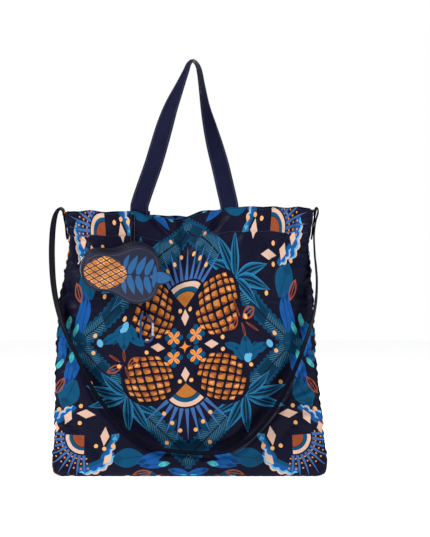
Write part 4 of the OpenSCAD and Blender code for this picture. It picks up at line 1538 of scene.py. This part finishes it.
class TOTE_OT_pouch(TotePiece, bpy.types.Operator):
    """Makes the pouch: faces, piping, stitches, spine and pull tab"""

    bl_idname = "tote.pouch"
    bl_label = "Pouch"

    def make(self, context):
        """Two domed faces with walls, bands between them, and leather trim."""
        trim = context.scene.tote_trim
        made = []
        front_rings = [(0, 65.4), (0, 67.5), (0, 70), (0.05, 72.4), (0.35, 74.0), (1.0, 75.2), (2.0, 75.75),
                       (2.9, 75.85), (3.6, 75.8), (4.4, 76.05)]
        front = pouch_face("pouch_front_shell", front_rings, trim.dome, 1, 6)
        material_of(front, material("leather"), material("pouch_print"))
        made.append((finished(thicken(front, 1.1)), ("pouch_front", "pouch_front_wall"), "pouch_leather"))
        back_rings = [(0, 58.6), (0, 55), (0, 51.5), (0.3, 49.2), (0.9, 47.9), (1.9, 47.3), (3.4, 47.25)]
        back = pouch_face("pouch_back_shell", back_rings, 0.0, -1, 99)
        made.append((finished(thicken(material_of(back, material("leather"), material("leather")), 1.1)),
                     ("pouch_back", "pouch_back_wall"), "pouch_leather"))

        line = pouch_outline()
        angle = np.degrees(np.arctan2(line[:, 1], line[:, 0])) % 360
        first = int(np.argmin(np.where(line[:, 0] < 0, np.abs(angle - 143), 999)))
        last = int(np.argmin(np.hypot(line[:, 0] - 57, line[:, 1] + 43.5)))
        zip_part, spine_part = line[first : last + 1], np.vstack([line[last:], line[: first + 1]])
        tape_band = material_of(band_of("pouch_zip_cloth", zip_part, 58.2, 65.8), material("zip_tape"))
        made.append((finished(thicken(tape_band, 0.8)), ("zip_tape",), "zip_fabric"))
        spine = material_of(band_of("pouch_spine_leather", spine_part, 58.2, 65.8, 0.15), material("leather"))
        made.append((finished(thicken(spine, 0.9)), ("pouch_spine",), "pouch_leather"))

        parts = []
        for d, depth, r in ((0.35, 74.9, 1.15), (0.3, 49.0, 1.05), (0.15, 66.0, 0.6), (0.15, 58.0, 0.6)):
            ring = inset(line, d)
            parts.append((*tube(pouch_point(ring[:, 0], ring[:, 1], depth), r, 8, closed=True), 0))
        ring = inset(line, 3.5)
        ring = np.vstack([ring, ring[:1]])
        path = pouch_point(ring[:, 0], ring[:, 1], 75.85)
        parts.append((*stitch_row(path, np.tile((0, -1.0, 0), (len(path), 1)), 2.5, 0.26), 1))
        for low_depth in (66.9, 57.1):
            side = zip_part
            tangent = tangents(side)
            out = pouch_point(tangent[:, 1], -tangent[:, 0], 0) - pouch_point(0, 0, 0)
            parts.append((*stitch_row(pouch_point(side[:, 0], side[:, 1], low_depth), out, 2.5, 0.22), 1))
        made.append((material_of(assembled("pouch_piping", parts), material("leather"), material("pale_thread")),
                     (), "pouch_leather"))

        top = smoothed([(86.5, 15), (94, 9.4), (100, 7.5), (104.5, 4), (106.4, -0.6)], 6)
        low = smoothed([(86.5, -16.5), (94, -11.2), (100, -9.5), (104.5, -6), (106.4, -1.4)], 6)
        s = np.linspace(0, 1, 13)[None, :, None]
        flat = low[:, None] * (1 - s) + top[:, None] * s
        edge = np.minimum(np.minimum(s, 1 - s)[..., 0] * 4, 1) ** 0.5
        depth = 76.6 + 0.5 * edge * np.ones(flat.shape[:2])
        grid = pouch_point(flat[..., 0], flat[..., 1], depth)
        tab = surface("pouch_leaf_tab", grid, flat * MM, flip=True)
        material_of(tab, material("pouch_print"), material("leather"))
        made.append((finished(thicken(tab, 1.5, inner=1)), ("pouch_pull_tab",), "pouch_leather"))
        for obj, nodes, slot in made:
            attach(obj, "pouch")
            if nodes:
                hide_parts(*nodes)


class TOTE_OT_tapes(TotePiece, bpy.types.Operator):
    """Makes the tape that holds the pouch and the loop that holds the clip"""

    bl_idname = "tote.tapes"
    bl_label = "Small tapes"

    def make(self, context):
        """A narrow tape from the hem to the pouch's back, and a looped tape under it."""
        u, v = panel_at(np.full(1, -86.0), np.full(1, 397.0), True)
        y = min(float(panel(u, v, True)[0, 1]) - 0.6, -39.0)
        path = resampled(smoothed([(-86, y, 401), (-86, y, 395), (-86, -41.4, 389), (-86, -43.4, 376),
                                   (-86, -45.6, 362), (-86, -46.5, 350), (-86, -46.6, 332)], 4), 2.0)
        tether = assembled("pouch_tether_tape", strip(path, np.tile((1.0, 0, 0), (len(path), 1)), 8, 0.9,
                                                      rows=(-2.8, 2.8), length=2.2))
        material_of(tether, material("strap"), material("pale_thread"))
        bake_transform(tether)
        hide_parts("pouch_tether", "tether_anchor")
        a = np.radians(np.linspace(150, 390, 22))
        ring = np.stack([-62 + 3.1 * np.cos(a), 249.3 + 3.1 * np.sin(a)], -1)
        rise = [(-62.75, 277), (-62.7, 268), (-62.9, 259), (-63.6, 254)]
        fall = [(-60.4, 254), (-61.1, 259), (-61.3, 268), (-61.25, 277)]
        flat = np.vstack([rise, ring, fall])
        path = resampled(np.stack([np.full(len(flat), -67.1), flat[:, 0], flat[:, 1]], -1), 0.9)
        loop = assembled("clip_loop_tape", strip(path, np.tile((1.0, 0, 0), (len(path), 1)), 4.4, 0.8))
        material_of(loop, material("strap"))
        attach(loop, "pouch")
        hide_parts("clip_loop")


# ---------- Zip and clip ----------


class TOTE_OT_zip(TotePiece, bpy.types.Operator):
    """Makes the zip's slider and puller, and finishes its teeth"""

    bl_idname = "tote.zip"
    bl_label = "Zip"

    def make(self, context):
        """Rounded blocks and a rod for the slider, and a flat drop with a hole for the puller."""
        for node in ("zip_front_teeth", "zip_back_teeth", "zip_top_stop", "zip_end_stop"):
            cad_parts[node].data.materials.clear()
            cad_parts[node].data.materials.append(material("metal"))
        a = math.radians(152)
        out = pouch_point(math.cos(a), math.sin(a), 0) - pouch_point(0, 0, 0)
        round_ = pouch_point(-math.sin(a), math.cos(a), 0) - pouch_point(0, 0, 0)
        deep = np.array([0, -1.0, 0])
        axes = np.stack([out, round_, deep])

        def at(r, s, depth):
            """Place on the slider: out from the small end's centre, round it, and in depth."""
            return pouch_point(0, 0, 0) + out * r + round_ * s + deep * depth

        parts = [(*pebble(at(30.9, 0, ZIP_MID), axes, (0.85, 4.6, 3.6), 0.45, 14, 24), 0),
                 (*pebble(at(31.3, 1.2, ZIP_MID), axes, (0.8, 2.2, 2.6), 0.6, 12, 20), 0)]
        for z in (ZIP_MID - 2.1, ZIP_MID + 2.1):
            parts.append((*pebble(at(32.1, 0, z), axes, (1.5, 1.0, 0.55), 0.6, 10, 16), 0))
        rod = np.stack([at(32.7, 0, ZIP_MID - 2.6), at(32.7, 0, ZIP_MID), at(32.7, 0, ZIP_MID + 2.6)])
        parts.append((*tube(rod, 0.6, 10, normal=out), 0))
        slider = material_of(assembled("zip_slider_body", parts), material("metal"))
        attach(slider, "zip_slider")
        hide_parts("zip_slider")

        b = np.linspace(0, 2 * math.pi, 56, endpoint=False)
        c, s = np.cos(b), np.sin(b)
        reach = np.full(len(b), 1.5)
        drop_at, drop_r = 9.6, 2.1
        under = drop_r**2 - (drop_at * s) ** 2
        hit = (under > 0) & (c > 0)
        reach = np.where(hit, np.maximum(reach, drop_at * c + np.sqrt(np.maximum(under, 0))), reach)
        reach = np.maximum(reach, np.where(c > 0, np.minimum(1.15 / np.maximum(np.abs(s), 0.08), 9.0), 0))
        edge = np.stack([reach * c, reach * s], -1)
        hole = np.stack([c, s], -1) * 0.75
        shell = [(0.0, -0.3), (0.06, -0.5), (0.5, -0.52), (0.92, -0.45), (1.0, -0.2), (1.0, 0.2), (0.92, 0.45),
                 (0.5, 0.52), (0.06, 0.5), (0.0, 0.3)]
        turn = math.radians(247)
        rings = np.stack([np.concatenate([hole + (edge - hole) * w, np.full((len(b), 1), h)], -1) for w, h in shell], 1)
        x = rings[..., 0] * math.cos(turn) - rings[..., 1] * math.sin(turn)
        y = rings[..., 0] * math.sin(turn) + rings[..., 1] * math.cos(turn)
        bail = (32.7 * math.cos(a), 32.7 * math.sin(a))
        points = pouch_point(bail[0] + x, bail[1] + y, ZIP_MID + rings[..., 2])
        n, k = points.shape[:2]
        faces = grid_faces(n, k, around=True) + [[(n - 1) * k + i, (n - 1) * k + (i + 1) % k, (i + 1) % k,
                                                  i] for i in range(k)]
        puller = material_of(assembled("zip_puller_tag", [(points.reshape(-1, 3), faces, 0)]), material("metal"))
        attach(puller, "zip_puller")
        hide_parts("zip_puller")


class TOTE_OT_clip(TotePiece, bpy.types.Operator):
    """Makes the clip's wire and finishes its gate"""

    bl_idname = "tote.clip"
    bl_label = "Clip"

    def make(self, context):
        """A round wire with two bends, a rounded nose and a flat lug for the gate."""
        x0, y0, half, top_r, wire = -64.0, -62.0, 9.1, 6.0, 1.7
        top = (x0 - half + top_r, 251 - wire - top_r)
        low = (x0, 251 - 45.5 + wire + half)
        slant = math.radians(40)
        run = x0 + half - top[0] - top_r * math.cos(slant)
        nose = (x0 + half, top[1] + top_r * math.sin(slant) - run / math.tan(slant))

        def bend(centre, r, first, last, n):
            """Points round a bend."""
            a = np.radians(np.linspace(first, last, n))
            return np.stack([centre[0] + r * np.cos(a), np.full(n, y0), centre[1] + r * np.sin(a)], -1)

        path = np.vstack([[(nose[0], y0, nose[1])], bend(top, top_r, 40, 180, 26), bend(low, half, 180, 360, 40),
                          [(x0 + half, y0, low[1] + 0.3)]])
        path = resampled(path, 1.0)
        for _ in range(2):
            path[1:-1] = (path[:-2] + 2 * path[1:-1] + path[2:]) / 4
        parts = [(*tube(path, wire, 16), 0)]
        parts.append((*pebble((nose[0], y0, nose[1]), np.eye(3), (1.75, 1.75, 1.75), 1.0, 12, 18), 0))
        lug = low[1] + 2.1
        parts.append((*pebble((x0 + half, y0, lug - 0.6), np.eye(3), (1.5, 0.58, 2.0), 0.6, 12, 18), 0))
        obj = material_of(assembled("clip_wire", parts), material("clip"))
        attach(obj, "clip")
        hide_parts("clip_frame", "gate_lug")
        for node in ("gate_pin", "clip_gate", "gate_spring"):
            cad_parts[node].data.materials.clear()
            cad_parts[node].data.materials.append(material("metal"))


PIECES = (
    TOTE_OT_stage, TOTE_OT_panels, TOTE_OT_gusset, TOTE_OT_hems, TOTE_OT_seams, TOTE_OT_handles,
    TOTE_OT_shoulder_strap, TOTE_OT_pouch, TOTE_OT_tapes, TOTE_OT_zip, TOTE_OT_clip,
)


class TOTE_PT_panel(bpy.types.Panel):
    """Sidebar with the settings and every piece"""

    bl_label = "Foldable tote bag"
    bl_idname = "TOTE_PT_panel"
    bl_space_type = "VIEW_3D"
    bl_region_type = "UI"
    bl_category = "Tote bag"

    def draw(self, context):
        """Lists the settings, then a button for each piece."""
        for settings in (context.scene.tote_cloth, context.scene.tote_trim):
            box = self.layout.box()
            for name in settings.__annotations__:
                box.prop(settings, name)
        for piece in PIECES:
            self.layout.operator(piece.bl_idname)


CLASSES = (TOTE_cloth_settings, TOTE_trim_settings, *PIECES, TOTE_PT_panel)


def register():
    """Registers the classes and adds the settings to the scene."""
    for cls in CLASSES:
        bpy.utils.register_class(cls)
    bpy.types.Scene.tote_cloth = bpy.props.PointerProperty(type=TOTE_cloth_settings)
    bpy.types.Scene.tote_trim = bpy.props.PointerProperty(type=TOTE_trim_settings)


def unregister():
    """Removes the settings and the classes."""
    del bpy.types.Scene.tote_cloth, bpy.types.Scene.tote_trim
    for cls in reversed(CLASSES):
        bpy.utils.unregister_class(cls)


def main():
    """Registers the add-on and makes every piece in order."""
    register()
    for piece in PIECES:
        group, call = piece.bl_idname.split(".")
        getattr(getattr(bpy.ops, group), call)()


if __name__ == "__main__":
    main()
